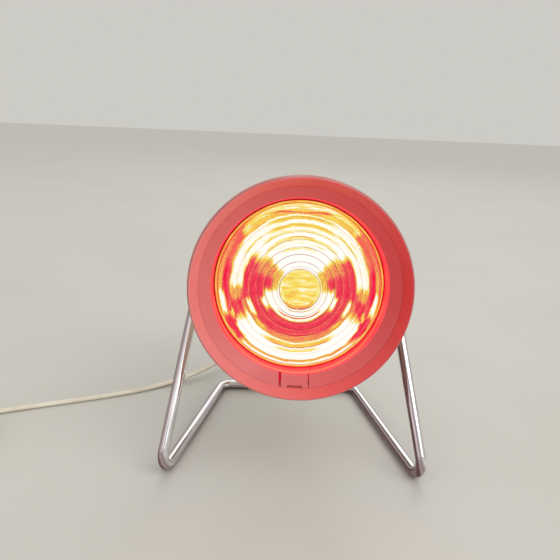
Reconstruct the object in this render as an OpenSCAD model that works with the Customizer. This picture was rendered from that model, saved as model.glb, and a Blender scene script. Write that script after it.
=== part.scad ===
// Infrared heat lamp: a round moulded head that tilts between the two ends of one bent tube.
// Millimetres, +Z up, the lamp shines towards -Y. The origin is on the table, midway between the
// lamp's foremost and rearmost points. Head pieces are drawn on the head's own axis, where w is
// the distance ahead of the tilt axis and the local Y is the head's up.

/* [Shell] */
// Largest radius of the shell, just behind the rim
shell_r = 77.5; // [74:0.5:84]
// Distance of that widest circle ahead of the tilt axis
wide_w = 66; // [62:0.5:70]
// Distance of the rim's front edge ahead of the tilt axis
lip_w = 77.2; // [76:0.2:80]
// Radius of the arc that rounds the rim from the widest circle to its front edge
rim_arc_r = 19; // [17:0.5:24]
// Radius of the long arc that the shell's side follows
side_arc_r = 430; // [330:10:700]
// Wall of the shell and of the rear cover
wall = 2.4; // [1.8:0.1:3]
// Thickness of the rim's front edge
lip_t = 1.3; // [1:0.1:2]
// How far the bright inner band of the rim narrows on its way in
band_slope = 3.9; // [3:0.1:5]
// Depth of that band
band_depth = 9.6; // [8.5:0.1:11]

/* [Rear cover] */
// Distance of the parting line behind the tilt axis
part_back = 60; // [57:0.5:62]
// Distance behind the tilt axis at which the cover starts to round
shoulder_back = 76; // [75:0.5:79]
// Radius of the cover at that place
shoulder_r = 37.1; // [36.5:0.1:40]
// Distance of the rear face behind the tilt axis
rear_back = 93; // [92:0.5:97]
// Radius on which the screws of the cover and of the bracket stand
boss_pitch_r = 31; // [30.5:0.1:32]

/* [Vents] */
// Slots round the shell, just ahead of the parting line
side_vents = 24; // [12:12:24]
// Length of a slot in the shell
side_vent_len = 16; // [8:1:18]
// Width of every vent slot
vent_w = 3; // [2:0.1:3.6]

/* [Front ring] */
// Depth of the ring's opening behind the front edge of the rim
opening_depth = 17.2; // [15:0.1:19]
// Wall of the ring
ring_t = 2.2; // [1.8:0.1:2.6]
// Gap between the ring and the rim
ring_gap = 0.15; // [0.1:0.05:0.3]
// Width of the spring tongue at the bottom of the ring
tongue_w = 19; // [15:0.5:24]
// How far the tongue's middle is to the left of the lamp's middle
tongue_shift = 1.3; // [0:0.1:3]
// Width of the release slot at the tongue's outer edge
release_w = 10.4; // [7:0.1:12]

/* [Bulb] */
// Radius of the bulb's front glass, a 121 mm reflector bulb
lens_r = 60.6; // [57:0.1:61]
// Distance of the glass's widest place behind the front edge of the rim
lens_depth = 29.9; // [29:0.1:32]
// Height of the glass dome over its edge
dome_h = 10; // [7:0.5:12]
// Whole length of the bulb
bulb_len = 132; // [131:0.5:134]
// Radius of the innermost ring moulded in the glass
lens_ring_r = 14.8; // [12:0.1:18]
// Distance from one ring to the next
lens_ring_step = 5.05; // [4.5:0.05:7]
// Wall of the glass
glass_t = 2.8; // [2:0.1:3.4]
// Radius of the bulb's screw cap
cap_r = 13.2; // [12.8:0.1:13.4]
// Turns of the filament
filament_turns = 12; // [8:1:16]

/* [Stand] */
// Outer diameter of the tube
tube_d = 8; // [6:0.2:9]
// Wall of the tube
tube_wall = 1; // [0.8:0.1:1.5]
// Radius of every bend, at the middle of the tube
bend_r = 10.5; // [9.5:0.5:12]
// Height of the tilt axis over the table
axis_h = 130.2; // [126:0.2:145]
// Half the distance between the corners of the front feet
foot_half = 95.8; // [94:0.2:110]
// How far the front feet are ahead of the tilt axis
foot_reach = 93.3; // [85:0.1:105]
// Half the distance between the rear corners
rear_half = 62.6; // [50:0.2:80]
// How far the rear bar is behind the tilt axis
rear_reach = 49.1; // [42:0.1:60]
// Tilt of the head at rest, upwards from level
rest_tilt = 9.3; // [0:0.1:20]

/* [Lampholder] */
// Outer radius of the ceramic body
holder_r = 20; // [19.5:0.1:20.2]
// Thickness of the ceramic behind the bulb's contact
holder_floor = 5; // [4.5:0.1:5.6]
// Thickness of the steel bracket
bracket_t = 1.2; // [0.8:0.1:1.5]
// Width of the steel bracket
bracket_w = 14; // [12:0.5:16]

/* [Cord] */
// Width of the flat two-core cord
cord_w = 5.4; // [5:0.1:5.6]
// Thickness of the flat cord
cord_t = 2.7; // [2.4:0.1:2.8]
// Length of the tapered part of the strain relief
relief_len = 20; // [18:0.5:26]
// Radius of the coil's outermost turn, at the middle of the cord
coil_r = 34.8; // [34:0.2:38]
// Turns in which the coil spirals from its outside to its inside, in each layer
spiral_turns = 1.65; // [1.3:0.05:1.75]

/* [Plug] */
// Diameter of the plug's pins
pin_d = 4; // [4:0.1:4.8]
// Length of the pins
pin_len = 19; // [18:0.5:19.5]
// Distance between the pins
pin_spacing = 18.6; // [17.5:0.1:19]
// Length of the plug's body
plug_len = 34; // [30:0.5:38]
// Width of the plug's body at the pins
plug_w = 35.3; // [33:0.1:36]
// Thickness of the plug's body
plug_t = 13.7; // [12:0.1:14.5]

/* [Hidden] */

$fn = 64;
eps = 0.01;       // overlap of a cutter with what it cuts
lap = 0.06;       // how far a bend of the tube runs into its straights; its wall is that much thinner
fit = 0.05;       // radial clearance of a shaft or screw in its hole
seat = 0.3;       // gap between pieces that lie beside each other
arc_steps = 12;   // straight steps in a long arc of a profile

cream = [0.93, 0.88, 0.80];
brass_tone = [0.80, 0.66, 0.36];
steel_tone = [0.72, 0.73, 0.75];
chrome_tone = [0.86, 0.87, 0.89];
glass_red = [0.85, 0.12, 0.05];
ceramic_tone = [0.94, 0.94, 0.91];
cord_tone = [0.90, 0.86, 0.76];

// ---- vectors, arcs and sweeps ----
function unit(v) = v / norm(v);
function smooth(s) = s * s * (3 - 2 * s);

// Centre of the arc of that radius from p to q, which bulges away from the head's axis
function arc_centre(p, q, rad) =
    let(d = q - p, h = sqrt(rad * rad - (d * d) / 4))
    (p + q) / 2 + h * unit([-d[1], d[0]]);

function arc(c, rad, a0, a1, n) =
    [for (i = [0:n]) c + rad * [cos(a0 + (a1 - a0) * i / n), sin(a0 + (a1 - a0) * i / n)]];

// Angle on an arc at the height w, and its radius from the head's axis there
function arc_angle(c, rad, w) = asin((w - c[1]) / rad);
function arc_r(c, rad, w) = c[0] + rad * cos(arc_angle(c, rad, w));

// A smooth line through the points, with n steps from each to the next
function through(p, n) =
    let(last = len(p) - 1)
    concat([for (i = [0:last - 1], k = [0:n - 1])
        let(t = k / n, a = p[max(i - 1, 0)], b = p[i], c = p[i + 1], d = p[min(i + 2, last)])
        (2 * b + (c - a) * t + (2 * a - 5 * b + 4 * c - d) * t * t
            + (3 * b - 3 * c + d - a) * t * t * t) / 2], [p[last]]);

function line_length(p, i = 0) = i >= len(p) - 1 ? 0 : norm(p[i + 1] - p[i]) + line_length(p, i + 1);

function heading(p, i) = unit(p[min(i + 1, len(p) - 1)] - p[max(i - 1, 0)]);

// One closed tube along the points, from one point of the line to another. Its oval section lies
// level, wide across and thick upwards.
module oval_tube(p, wide, thick, sides, level = [0, 0, 1], from = 0, to = undef) {
    stop = is_undef(to) ? len(p) - 1 : to;
    rings = [for (i = [from:stop])
        let(t = heading(p, i), across = unit(cross(t, level)), up = cross(across, t))
        for (k = [0:sides - 1])
            p[i] + across * wide / 2 * cos(360 * k / sides) + up * thick / 2 * sin(360 * k / sides)];
    side_faces = [for (i = [0:stop - from - 1], k = [0:sides - 1])
        let(a = i * sides + k, b = i * sides + (k + 1) % sides)
        each [[a, b, b + sides], [a, b + sides, a + sides]]];
    first = [for (k = [1:sides - 2]) [0, k + 1, k]];
    base = (stop - from) * sides;
    final = [for (k = [1:sides - 2]) [base, base + k, base + k + 1]];
    polyhedron(rings, concat(side_faces, first, final));
}

// Puts +Z along the direction d, from the point p
module along(p, d) {
    z = unit(d);
    x = unit(cross(abs(z[0]) < 0.9 ? [1, 0, 0] : [0, 1, 0], z));
    y = cross(z, x);
    multmatrix([[x[0], y[0], z[0], p[0]], [x[1], y[1], z[1], p[1]], [x[2], y[2], z[2], p[2]]])
        children();
}

module rod(p, q, r) {
    along(p, q - p) cylinder(r = r, h = norm(q - p));
}

// ---- the head's profile, as points [radius, w] ----
wide = [shell_r, wide_w];
shoulder = [shoulder_r, -shoulder_back];
side_c = arc_centre(shoulder, wide, side_arc_r);
wide_angle = arc_angle(side_c, side_arc_r, wide_w);
rim_c = wide - rim_arc_r * [cos(wide_angle), sin(wide_angle)];
nose_h = 0.6;                                  // height of the rounding on the rim's front edge
nose_r = arc_r(rim_c, rim_arc_r, lip_w - nose_h);
band_r = nose_r - lip_t;                       // radius of the rim's inner edge
mouth_r = band_r - band_slope;
band_w = lip_w - band_depth;
band_edge = 2;                                 // length of the band's rear edge
band_back = 1.9;                               // thickness of the band there
join_w = lip_w - 5.2;                          // where the band's back meets the outer wall
part_w = -part_back;
rear_w = -rear_back;

function side_r(w, inset = 0) = arc_r(side_c, side_arc_r - inset, w);
function side_points(w0, a1, inset) =
    arc(side_c, side_arc_r - inset, arc_angle(side_c, side_arc_r - inset, w0), a1, arc_steps);
function rim_points(w1, inset) =
    arc(rim_c, rim_arc_r - inset, wide_angle, arc_angle(rim_c, rim_arc_r - inset, w1), 8);
function reversed(p) = [for (i = [len(p) - 1:-1:0]) p[i]];
function after_first(p) = [for (i = [1:len(p) - 1]) p[i]];

// The cover's rounding leaves the side arc smoothly at the shoulder and ends square to the axis
shoulder_angle = arc_angle(side_c, side_arc_r, -shoulder_back);
round_r = (rear_back - shoulder_back) / (1 + sin(shoulder_angle));
round_c = shoulder - round_r * [cos(shoulder_angle), sin(shoulder_angle)];
function cover_outline(inset) =
    concat([[0, part_w]], side_points(part_w, shoulder_angle, inset),
        after_first(arc(round_c, round_r - inset, shoulder_angle, -90, arc_steps)),
        [[0, rear_w + inset]]);

// ---- the tilt axis in the row's frame ----
relief_y = -26;                                // height of the cord's exit on the head
pad_w = rear_w + 0.8;                          // face of the boss that the strain relief sits on
relief_flange = 1.8;
relief_boss = 8;                               // length of the boss behind the lampholder
boss_reach = 4.4;                              // how much further it reaches below the lampholder
relief_tip_w = pad_w - relief_flange - relief_len;
relief_tip_r = 3.9;
head_front = lip_w * cos(rest_tilt) + (nose_r - lip_t / 2) * sin(rest_tilt);
head_rear = -relief_tip_w * cos(rest_tilt) + (relief_y + relief_tip_r) * sin(rest_tilt);
axis_y = (head_front - head_rear) / 2;

// A point on the head, in the row's frame
function on_head(x, y, w) =
    [x, axis_y + y * sin(rest_tilt) - w * cos(rest_tilt),
        axis_h + y * cos(rest_tilt) + w * sin(rest_tilt)];

module in_head() {
    translate([0, axis_y, axis_h]) rotate([90 - rest_tilt, 0, 0]) children();
}

// ---- the tilt joint ----
tube_r = tube_d / 2;
bush_wall = 2;
bush_r = tube_r + bush_wall;                   // outside of the bush's sleeve
flange_r = tube_r + 4.5;
flange_t = 1.1;
pad_x = side_r(0) + 0.6;                       // outer face of the boss that carries the bush
boss_r = flange_r + 2.5;
boss_len = 11;
washer_t = 0.8;
clip_t = 0.8;
clip_r = tube_r + 3.5;
boss_in_x = pad_x - boss_len;
washer_x = boss_in_x - 0.1;
clip_x = washer_x - washer_t - 0.1;
tube_end_x = clip_x - clip_t - 2;

// Corners of the tube's centre line, from the middle of the rear bar to the right-hand end. At
// the top the bend starts just outside the bush's flange.
leg_spread = foot_half - pad_x - bend_r;
top_turn = acos(leg_spread / norm([leg_spread, foot_reach, axis_h - tube_r]));
leg_half = pad_x + flange_t + 0.1 + bend_r * tan(top_turn / 2);
function half_route() = [
    [rear_half, axis_y + rear_reach, tube_r],
    [foot_half, axis_y - foot_reach, tube_r],
    [leg_half, axis_y, axis_h],
    [tube_end_x, axis_y, axis_h]];
function mirrored(p) = [-p[0], p[1], p[2]];
stand_route = let(h = half_route()) concat([for (i = [3:-1:0]) mirrored(h[i])], h);

// ---- head: mouldings ----
module screw_place(angles) {
    for (a = angles) rotate(a) translate([boss_pitch_r, 0, 0]) children();
}
cover_angles = [90, 210, 330];
bracket_angles = [0, 180];
pilot_r = 1.25;
boss_depth = 12;

module pivot_boss(side) {
    rotate([0, 90 * side, 0]) translate([0, 0, boss_in_x]) cylinder(r = boss_r, h = boss_len);
}

module screw_boss() {
    translate([0, 0, part_w]) cylinder(r = 4, h = boss_depth);
    translate([0, -1, part_w + 1])
        cube([side_r(part_w, wall) - boss_pitch_r + 1, 2, boss_depth - 1]);
}

module shell_outline() {
    polygon(concat(
        side_points(part_w, wide_angle, 0),
        after_first(rim_points(lip_w - nose_h, 0)),
        [[nose_r - 0.4, lip_w], [band_r + 0.3, lip_w], [band_r, lip_w - 0.4]],
        [[mouth_r, band_w], [mouth_r, band_w - band_edge],
            [mouth_r + band_back, band_w - band_edge]],
        reversed(rim_points(join_w, wall)),
        after_first(reversed(side_points(part_w, wide_angle, wall)))));
}

vent_mid_w = part_w + 8 + side_vent_len / 2;
ledge_w = band_w - 14;                         // where the front ring's skirt ends
module housing_shell() color(cream) in_head() difference() {
    union() {
        rotate_extrude($fn = 128) shell_outline();
        pivot_boss(1);
        pivot_boss(-1);
        screw_place(cover_angles) screw_boss();
        screw_place(bracket_angles) screw_boss();
        for (a = [30:60:330]) rotate(a) translate([mouth_r - 4, -1, ledge_w - 8.3])
            cube([side_r(ledge_w - 8.3, wall) - mouth_r + 4.5, 2, 8]);
    }
    for (side = [-1, 1]) rotate([0, 90 * side, 0]) {
        translate([0, 0, boss_in_x - eps]) cylinder(r = bush_r + fit, h = boss_len + 2 * eps);
        translate([0, 0, pad_x]) cylinder(r = flange_r + 0.8, h = 8);
    }
    screw_place(concat(cover_angles, bracket_angles))
        translate([0, 0, part_w - eps]) cylinder(r = pilot_r + fit, h = boss_depth - 2);
    for (i = [0:side_vents - 1]) rotate(360 * (i + 0.5) / side_vents)
        translate([side_r(vent_mid_w) - wall - 4, 0, vent_mid_w]) rotate([0, 90, 0])
            linear_extrude(wall + 8) vent_shape(side_vent_len);
}

module vent_shape(length) {
    square([length - vent_w, vent_w], center = true);
    for (s = [-1, 1]) translate([s * (length - vent_w) / 2, 0]) circle(d = vent_w, $fn = 24);
}

ring_r = mouth_r - ring_gap;
opening_r = lens_r + 1.3;
opening_w = lip_w - opening_depth;
lens_w = lip_w - lens_depth;
sleeve_back_w = lens_w - 1.5;
module ring_outline() {
    polygon([[ring_r, band_w], [opening_r + 0.5, opening_w], [opening_r, opening_w - 0.5],
        [opening_r, sleeve_back_w], [opening_r + ring_t, sleeve_back_w],
        [opening_r + ring_t, opening_w - ring_t], [ring_r - ring_t, band_w - ring_t * 1.4],
        [ring_r - ring_t, ledge_w], [ring_r, ledge_w]]);
}

module snap_lug() {
    rotate(-5) rotate_extrude(angle = 10) polygon([[ring_r - 0.5, ledge_w + 6],
        [ring_r, ledge_w + 6], [ring_r + 1.7, ledge_w + 9],
        [ring_r + 1.7, band_w - band_edge - seat], [ring_r - 0.5, band_w - band_edge - seat]]);
}

tongue_gap = [1.8, 0.7];                       // clear width of the slits left and right of it
module tongue_slit(x, gap) {
    translate([x, -mouth_r - 5, ledge_w - eps])
        cube([gap, mouth_r + 5 - opening_r - ring_t, band_w]);
    translate([x, -mouth_r - 5, opening_w - ring_t * 1.2])
        cube([gap, mouth_r + 6 - opening_r, band_w]);
}

module front_ring() color(cream) in_head() difference() {
    union() {
        rotate_extrude($fn = 128) ring_outline();
        for (a = [30, 150, 270]) rotate(a) snap_lug();
    }
    tongue_slit(-tongue_shift - tongue_w / 2 - tongue_gap[0], tongue_gap[0]);
    tongue_slit(-tongue_shift + tongue_w / 2, tongue_gap[1]);
    translate([-tongue_shift - release_w / 2, -ring_r - 1, band_w - 2.6])
        cube([release_w, 2.6, 5]);
}

screw_head_w = part_w - 9;                     // face on which a cover screw's head sits
screw_r = 1.6;
screw_head_r = 3;
tower_r = 4.6;
relief_r = 4.5;                                // neck of the strain relief
shelf_top = relief_y - cord_t / 2 - 0.1;
shelf_w = [part_w - 17.6, part_w - 9];         // rear and front end of the clamp's shelf
clamp_x = 6.6;                                 // the clamp screws stand this far either side
module relief_seat() difference() {
    translate([0, relief_y, pad_w]) cylinder(r = relief_r + 3, h = relief_boss + boss_reach);
    translate([0, 0, pad_w + relief_boss]) cylinder(r = holder_r + 0.4, h = boss_reach + 1);
}

// The space inside the cover, round its towers, the clamp's shelf and the cord's boss
module cover_cavity() difference() {
    rotate_extrude($fn = 128) polygon(cover_outline(wall));
    screw_place(cover_angles) translate([0, 0, rear_w]) cylinder(r = tower_r, h = rear_back);
    translate([-10, -shell_r, shelf_w[0]])
        cube([20, shell_r + shelf_top, shelf_w[1] - shelf_w[0]]);
    relief_seat();
}

module rear_cover() color(cream) in_head() difference() {
    union() {
        rotate_extrude($fn = 128) polygon(cover_outline(0));
        relief_seat();
    }
    translate([0, 0, eps]) cover_cavity();
    screw_place(cover_angles) {
        translate([0, 0, rear_w - 1]) cylinder(r = screw_r + fit, h = rear_back);
        translate([0, 0, rear_w - 1])
            cylinder(r = screw_head_r + 0.3, h = screw_head_w - rear_w + 1);
    }
    translate([0, relief_y, pad_w - 1])
        cylinder(r = relief_r + fit, h = relief_boss + boss_reach + 1.5);
    translate([0, relief_y, rear_w - 1]) cylinder(r = 6.8 + fit, h = pad_w - rear_w + 1);
    for (s = [-1, 1]) translate([s * clamp_x, shelf_top + eps, (shelf_w[0] + shelf_w[1]) / 2])
        rotate([90, 0, 0]) cylinder(r = pilot_r + fit, h = 7);
    for (a = [15:30:345]) if (abs(a - 270) > 20) rotate(a)
        translate([24, 0, rear_w - 1]) linear_extrude(20) vent_shape(16);
}

// ---- screws ----
module pan_screw(head_r, head_h, shank_r, length) {
    difference() {
        union() {
            translate([0, 0, -head_h]) cylinder(r = head_r, h = head_h);
            cylinder(r = shank_r, h = length);
        }
        translate([-head_r, -0.4, -head_h - eps]) cube([2 * head_r, 0.8, head_h / 2]);
    }
}

module cover_screws() color(steel_tone) in_head() screw_place(cover_angles)
    translate([0, 0, screw_head_w]) pan_screw(screw_head_r, 2, pilot_r, 9 + boss_depth - 4);

module bracket_screws() color(steel_tone) in_head() screw_place(bracket_angles)
    translate([0, 0, part_w - bracket_t]) pan_screw(2.8, 1.8, pilot_r, bracket_t + boss_depth - 4);

// ---- bulb ----
bulb_end_w = lens_w + dome_h - bulb_len;
seam_w = lens_w - 1;                           // where the lens and the reflector are fused
dome_r = (lens_r * lens_r + dome_h * dome_h) / (2 * dome_h);
function dome_w(r) = lens_w + dome_h - dome_r + sqrt(dome_r * dome_r - r * r);
lens_rings = floor((lens_r - 3 - lens_ring_r) / lens_ring_step) + 1;
ripple_h = 0.6;                                // height of the ridges in the glass
function ripple(r) = r < lens_ring_r ? 0
    : ripple_h * (1 - abs(2 * ((r - lens_ring_r) / lens_ring_step % 1) - 1)) - ripple_h / 2;
lens_crest_r = lens_ring_r + lens_rings * lens_ring_step;
function lens_face() = concat(
    [for (i = [0:4]) let(r = i / 4 * lens_ring_r) [r, dome_w(r)]],
    [for (i = [1:2 * lens_rings - 2])
        let(r = lens_ring_r + i * lens_ring_step / 2) [r, dome_w(r) + ripple(r)]]);

module bulb_lens() color(glass_red) in_head() rotate_extrude($fn = 128) polygon(concat(
    lens_face(), [[lens_r - 1, lens_w + 1.4], [lens_r, lens_w + 0.6], [lens_r, seam_w],
        [lens_r - 4, seam_w]],
    [for (i = [8:-1:0]) let(r = i / 8 * (lens_r - 6)) [r, dome_w(r) - glass_t - ripple_h]]));

// Parabola of the reflector, from its neck to its rim
neck_r = 19;
bowl_depth = 61;                               // from the lens to the bottom of the bowl
neck_w = lens_w - bowl_depth;
neck_len = 10;
cap_len = 27;
seal_len = 7;                                  // length of glass inside the cap
seal_t = 4;
bowl_k = ((lens_r - 2) * (lens_r - 2) - neck_r * neck_r) / (seam_w - 3 - neck_w);
function bowl_w(r) = neck_w + (r * r - neck_r * neck_r) / bowl_k;
focus_w = neck_w - neck_r * neck_r / bowl_k + bowl_k / 4;
stem_r = cap_r - 0.9;
cap_front_w = bulb_end_w + cap_len;
function bowl_points(inset) = [for (i = [0:arc_steps])
    let(r = neck_r + (lens_r - 2 - neck_r) * i / arc_steps) [r - inset, bowl_w(r)]];

module bulb_reflector() color(glass_red) in_head() rotate_extrude($fn = 96) polygon(concat(
    [[0, cap_front_w - seal_len], [stem_r, cap_front_w - seal_len],
        [stem_r, cap_front_w + seal_t / 2], [neck_r - 3, neck_w - neck_len]],
    bowl_points(0), [[lens_r, seam_w - 2.5], [lens_r, seam_w], [lens_r - 4, seam_w]],
    [for (i = [arc_steps:-1:0]) bowl_points(glass_t)[i]],
    [[neck_r - 3 - glass_t, neck_w - neck_len], [stem_r - glass_t, cap_front_w],
        [stem_r - glass_t, cap_front_w - seal_len + seal_t], [0, cap_front_w - seal_len + seal_t]]));

filament_r = 1.4;
filament_half = 11;
wire_r = 0.3;
lead_r = 0.5;
module bulb_filament() color(steel_tone) in_head() translate([0, 0, focus_w])
    rotate([0, 0, 90]) oval_tube([for (i = [0:filament_turns * 8])
        [filament_r * sin(45 * i), filament_half * (i / (filament_turns * 4) - 1),
            filament_r * (1 - cos(45 * i))]], 2 * wire_r, 2 * wire_r, 6);

module bulb_leads() color(steel_tone) in_head() for (s = [-1, 1]) oval_tube([
    [s * stem_r / 2, 0, cap_front_w - seal_len + seal_t], [s * stem_r / 2, 0, cap_front_w],
    [s * (stem_r / 2 + 0.5), 0, cap_front_w + seal_t],
    [s * filament_half, 0, focus_w - wire_r - 0.1]], 2 * lead_r, 2 * lead_r, 8, [0, 1, 0]);

module bulb_cap() color(brass_tone) in_head() rotate_extrude() polygon([
    [stem_r + 0.05, cap_front_w], [cap_r, cap_front_w], [cap_r, bulb_end_w + 5],
    [cap_r - 3.5, bulb_end_w + 3], [cap_r - 4.3, bulb_end_w + 3.7],
    [stem_r + 0.05, bulb_end_w + 5.6]]);

module bulb_cap_insulator() color([0.12, 0.12, 0.14]) in_head() rotate_extrude() polygon([
    [0, bulb_end_w + 1], [5, bulb_end_w + 1], [cap_r - 4.5, bulb_end_w + 3],
    [cap_r - 4.5, bulb_end_w + 3.6], [0, bulb_end_w + 3.6]]);

module bulb_cap_contact() color(brass_tone) in_head() rotate_extrude() polygon([
    [0, bulb_end_w], [3.5, bulb_end_w], [4.6, bulb_end_w + 1], [0, bulb_end_w + 1]]);

// ---- lampholder ----
cavity_w = bulb_end_w - 3.2;                   // floor of the ceramic's cavity
holder_front_w = cap_front_w + 2;
holder_rear_w = cavity_w - holder_floor;
cavity_r = cap_r + 1.4;
holder_screw_x = 10;
terminal_x = 8;
terminal_size = [5.6, 3.8, 8];
terminal_face_y = -(holder_r - 0.5);
terminal_w = bulb_end_w + 10;
module holder_body() color(ceramic_tone) in_head() difference() {
    rotate_extrude() polygon([[0, holder_rear_w], [holder_r - 1, holder_rear_w],
        [holder_r, holder_rear_w + 1], [holder_r, holder_front_w - 2],
        [holder_r - 2, holder_front_w], [cavity_r, holder_front_w],
        [cavity_r, cavity_w], [0, cavity_w]]);
    for (s = [-1, 1]) {
        translate([s * holder_screw_x, 0, holder_rear_w - eps])
            cylinder(r = pilot_r + fit, h = holder_floor - 1);
        translate([s * terminal_x - terminal_size[0] / 2 - fit, -holder_r - 1, terminal_w - fit])
            cube([terminal_size[0] + 2 * fit,
                holder_r + 1 + terminal_face_y + terminal_size[1], terminal_size[2] + 2 * fit]);
    }
}

module holder_sleeve() color(brass_tone) in_head() rotate_extrude() polygon([
    [cap_r + 0.3, cavity_w + 0.6], [cap_r + 0.3, cap_front_w - 1], [cap_r + 0.9, cap_front_w - 1],
    [cap_r + 0.9, cavity_w], [cap_r - 2, cavity_w], [cap_r - 2, cavity_w + 0.6]]);

module holder_contact() color(brass_tone) in_head() translate([0, 3, 0]) rotate([90, 0, 0])
    linear_extrude(6) polygon([[-6, cavity_w], [4, cavity_w], [4, cavity_w + 0.6],
        [-5, cavity_w + 0.6], [-3.5, bulb_end_w - 0.7], [2, bulb_end_w - 0.7], [2, bulb_end_w - 0.1],
        [-4, bulb_end_w - 0.1]]);

module holder_terminals() color(brass_tone) in_head() for (s = [-1, 1])
    translate([s * terminal_x - terminal_size[0] / 2, terminal_face_y, terminal_w]) difference() {
        cube(terminal_size);
        translate([terminal_size[0] / 2, -eps, 2.2]) rotate([-90, 0, 0])
            cylinder(r = 1 + fit, h = 3);
    }

module terminal_screws() color(steel_tone) in_head() for (s = [-1, 1])
    translate([s * terminal_x, terminal_face_y, terminal_w + 2.2]) rotate([-90, 0, 0])
        pan_screw(1.8, 1.2, 1, 2.6);

strap_x = holder_r + 2;
flange_end_x = boss_pitch_r + 5;
module strap_outline() {
    inner = [[strap_x, part_w - bracket_t], [strap_x, holder_rear_w],
        [-strap_x, holder_rear_w], [-strap_x, part_w - bracket_t]];
    outer = [[-flange_end_x, part_w - bracket_t], [-flange_end_x, part_w],
        [-strap_x + bracket_t, part_w], [-strap_x + bracket_t, holder_rear_w]];
    polygon([[flange_end_x, part_w], [strap_x, part_w], [strap_x, holder_rear_w],
        [-strap_x, holder_rear_w], [-strap_x, part_w], [-flange_end_x, part_w],
        [-flange_end_x, part_w - bracket_t], [-strap_x - bracket_t, part_w - bracket_t],
        [-strap_x - bracket_t, holder_rear_w - bracket_t],
        [strap_x + bracket_t, holder_rear_w - bracket_t],
        [strap_x + bracket_t, part_w - bracket_t], [flange_end_x, part_w - bracket_t]]);
}

module holder_bracket() color(steel_tone) in_head() difference() {
    translate([0, bracket_w / 2, 0]) rotate([90, 0, 0]) linear_extrude(bracket_w) strap_outline();
    for (s = [-1, 1]) {
        translate([s * holder_screw_x, 0, holder_rear_w - 5]) cylinder(r = pilot_r + fit, h = 6);
        translate([s * boss_pitch_r, 0, part_w - 5]) cylinder(r = pilot_r + fit, h = 6);
    }
}

module holder_screws() color(steel_tone) in_head() for (s = [-1, 1])
    translate([s * holder_screw_x, 0, holder_rear_w - bracket_t])
        pan_screw(2.6, 1.6, pilot_r, bracket_t + holder_floor - 1.5);

// ---- pivot ----
module on_axis(side) {
    translate([0, axis_y, axis_h]) rotate([0, 90 * side, 0]) children();
}

module pivot_bush(side) color([0.25, 0.25, 0.27]) on_axis(side) difference() {
    union() {
        translate([0, 0, boss_in_x]) cylinder(r = bush_r, h = boss_len + eps);
        translate([0, 0, pad_x]) cylinder(r = flange_r, h = flange_t);
    }
    translate([0, 0, boss_in_x - 1]) cylinder(r = tube_r + fit, h = boss_len + 4);
}

module friction_washer(side) color(steel_tone) on_axis(side)
    translate([0, 0, washer_x - washer_t]) difference() {
        cylinder(r = clip_r + 0.5, h = washer_t);
        translate([0, 0, -1]) cylinder(r = tube_r + fit, h = washer_t + 2);
    }

module tube_clip(side) color(steel_tone) on_axis(side)
    translate([0, 0, clip_x - clip_t]) difference() {
        cylinder(r = clip_r, h = clip_t);
        translate([0, 0, -1]) cylinder(r = tube_r, h = clip_t + 2);
        for (a = [0:60:300]) rotate(a) translate([tube_r + 0.3, -0.3, -1])
            cube([1.6, 0.6, clip_t + 2]);
    }

// ---- stand ----
// A tube along the corners, with a bend of radius bend_r at each inner one
module bent_tube(route) {
    last = len(route) - 1;
    turn = [for (i = [0:last]) i == 0 || i == last ? 0
        : acos(unit(route[i] - route[i - 1]) * unit(route[i + 1] - route[i]))];
    extra = asin(lap / bend_r);
    for (i = [0:last - 1]) {
        d = unit(route[i + 1] - route[i]);
        start = route[i] + d * bend_r * tan(turn[i] / 2);
        length = norm(route[i + 1] - route[i]) - bend_r * (tan(turn[i] / 2) + tan(turn[i + 1] / 2));
        along(start, d) difference() {
            cylinder(r = tube_r, h = length);
            translate([0, 0, -1]) cylinder(r = tube_r - tube_wall, h = length + 2);
        }
    }
    for (i = [1:last - 1]) {
        a = unit(route[i] - route[i - 1]);
        n = unit(cross(a, route[i + 1] - route[i]));
        m = cross(n, a);
        c = route[i] - a * bend_r * tan(turn[i] / 2) + m * bend_r;
        multmatrix([[-m[0], a[0], n[0], c[0]], [-m[1], a[1], n[1], c[1]],
            [-m[2], a[2], n[2], c[2]]])
            rotate(-extra) rotate_extrude(angle = turn[i] + 2 * extra, $fn = 96)
                translate([bend_r, 0]) difference() {
                    circle(r = tube_r - lap / 2, $fn = 48);
                    circle(r = tube_r - tube_wall + lap / 2, $fn = 48);
                }
    }
}

module stand_tube() color(chrome_tone) bent_tube(stand_route);

// ---- cord inside the head ----
cord_end_w = shelf_w[1] + 2;
relief_in_w = pad_w + relief_boss + boss_reach + 0.1; // where its inner flange holds behind the boss
module strain_relief() color(cord_tone) in_head() translate([0, relief_y, 0]) difference() {
    rotate_extrude() polygon([[0, relief_tip_w], [relief_tip_r, relief_tip_w],
        [5.6, pad_w - relief_flange - 2], [6.8, pad_w - relief_flange], [6.8, pad_w],
        [relief_r, pad_w], [relief_r, relief_in_w], [5.6, relief_in_w], [5, relief_in_w + 1.6],
        [0, relief_in_w + 1.6]]);
    translate([0, 0, relief_tip_w - 1]) cylinder(r = cord_w / 2 + 0.15, h = 60);
}

module inner_cord() color(cord_tone) in_head() translate([0, relief_y, relief_tip_w])
    linear_extrude(cord_end_w - relief_tip_w) scale([1, cord_t / cord_w])
        circle(d = cord_w, $fn = 12);

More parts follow.
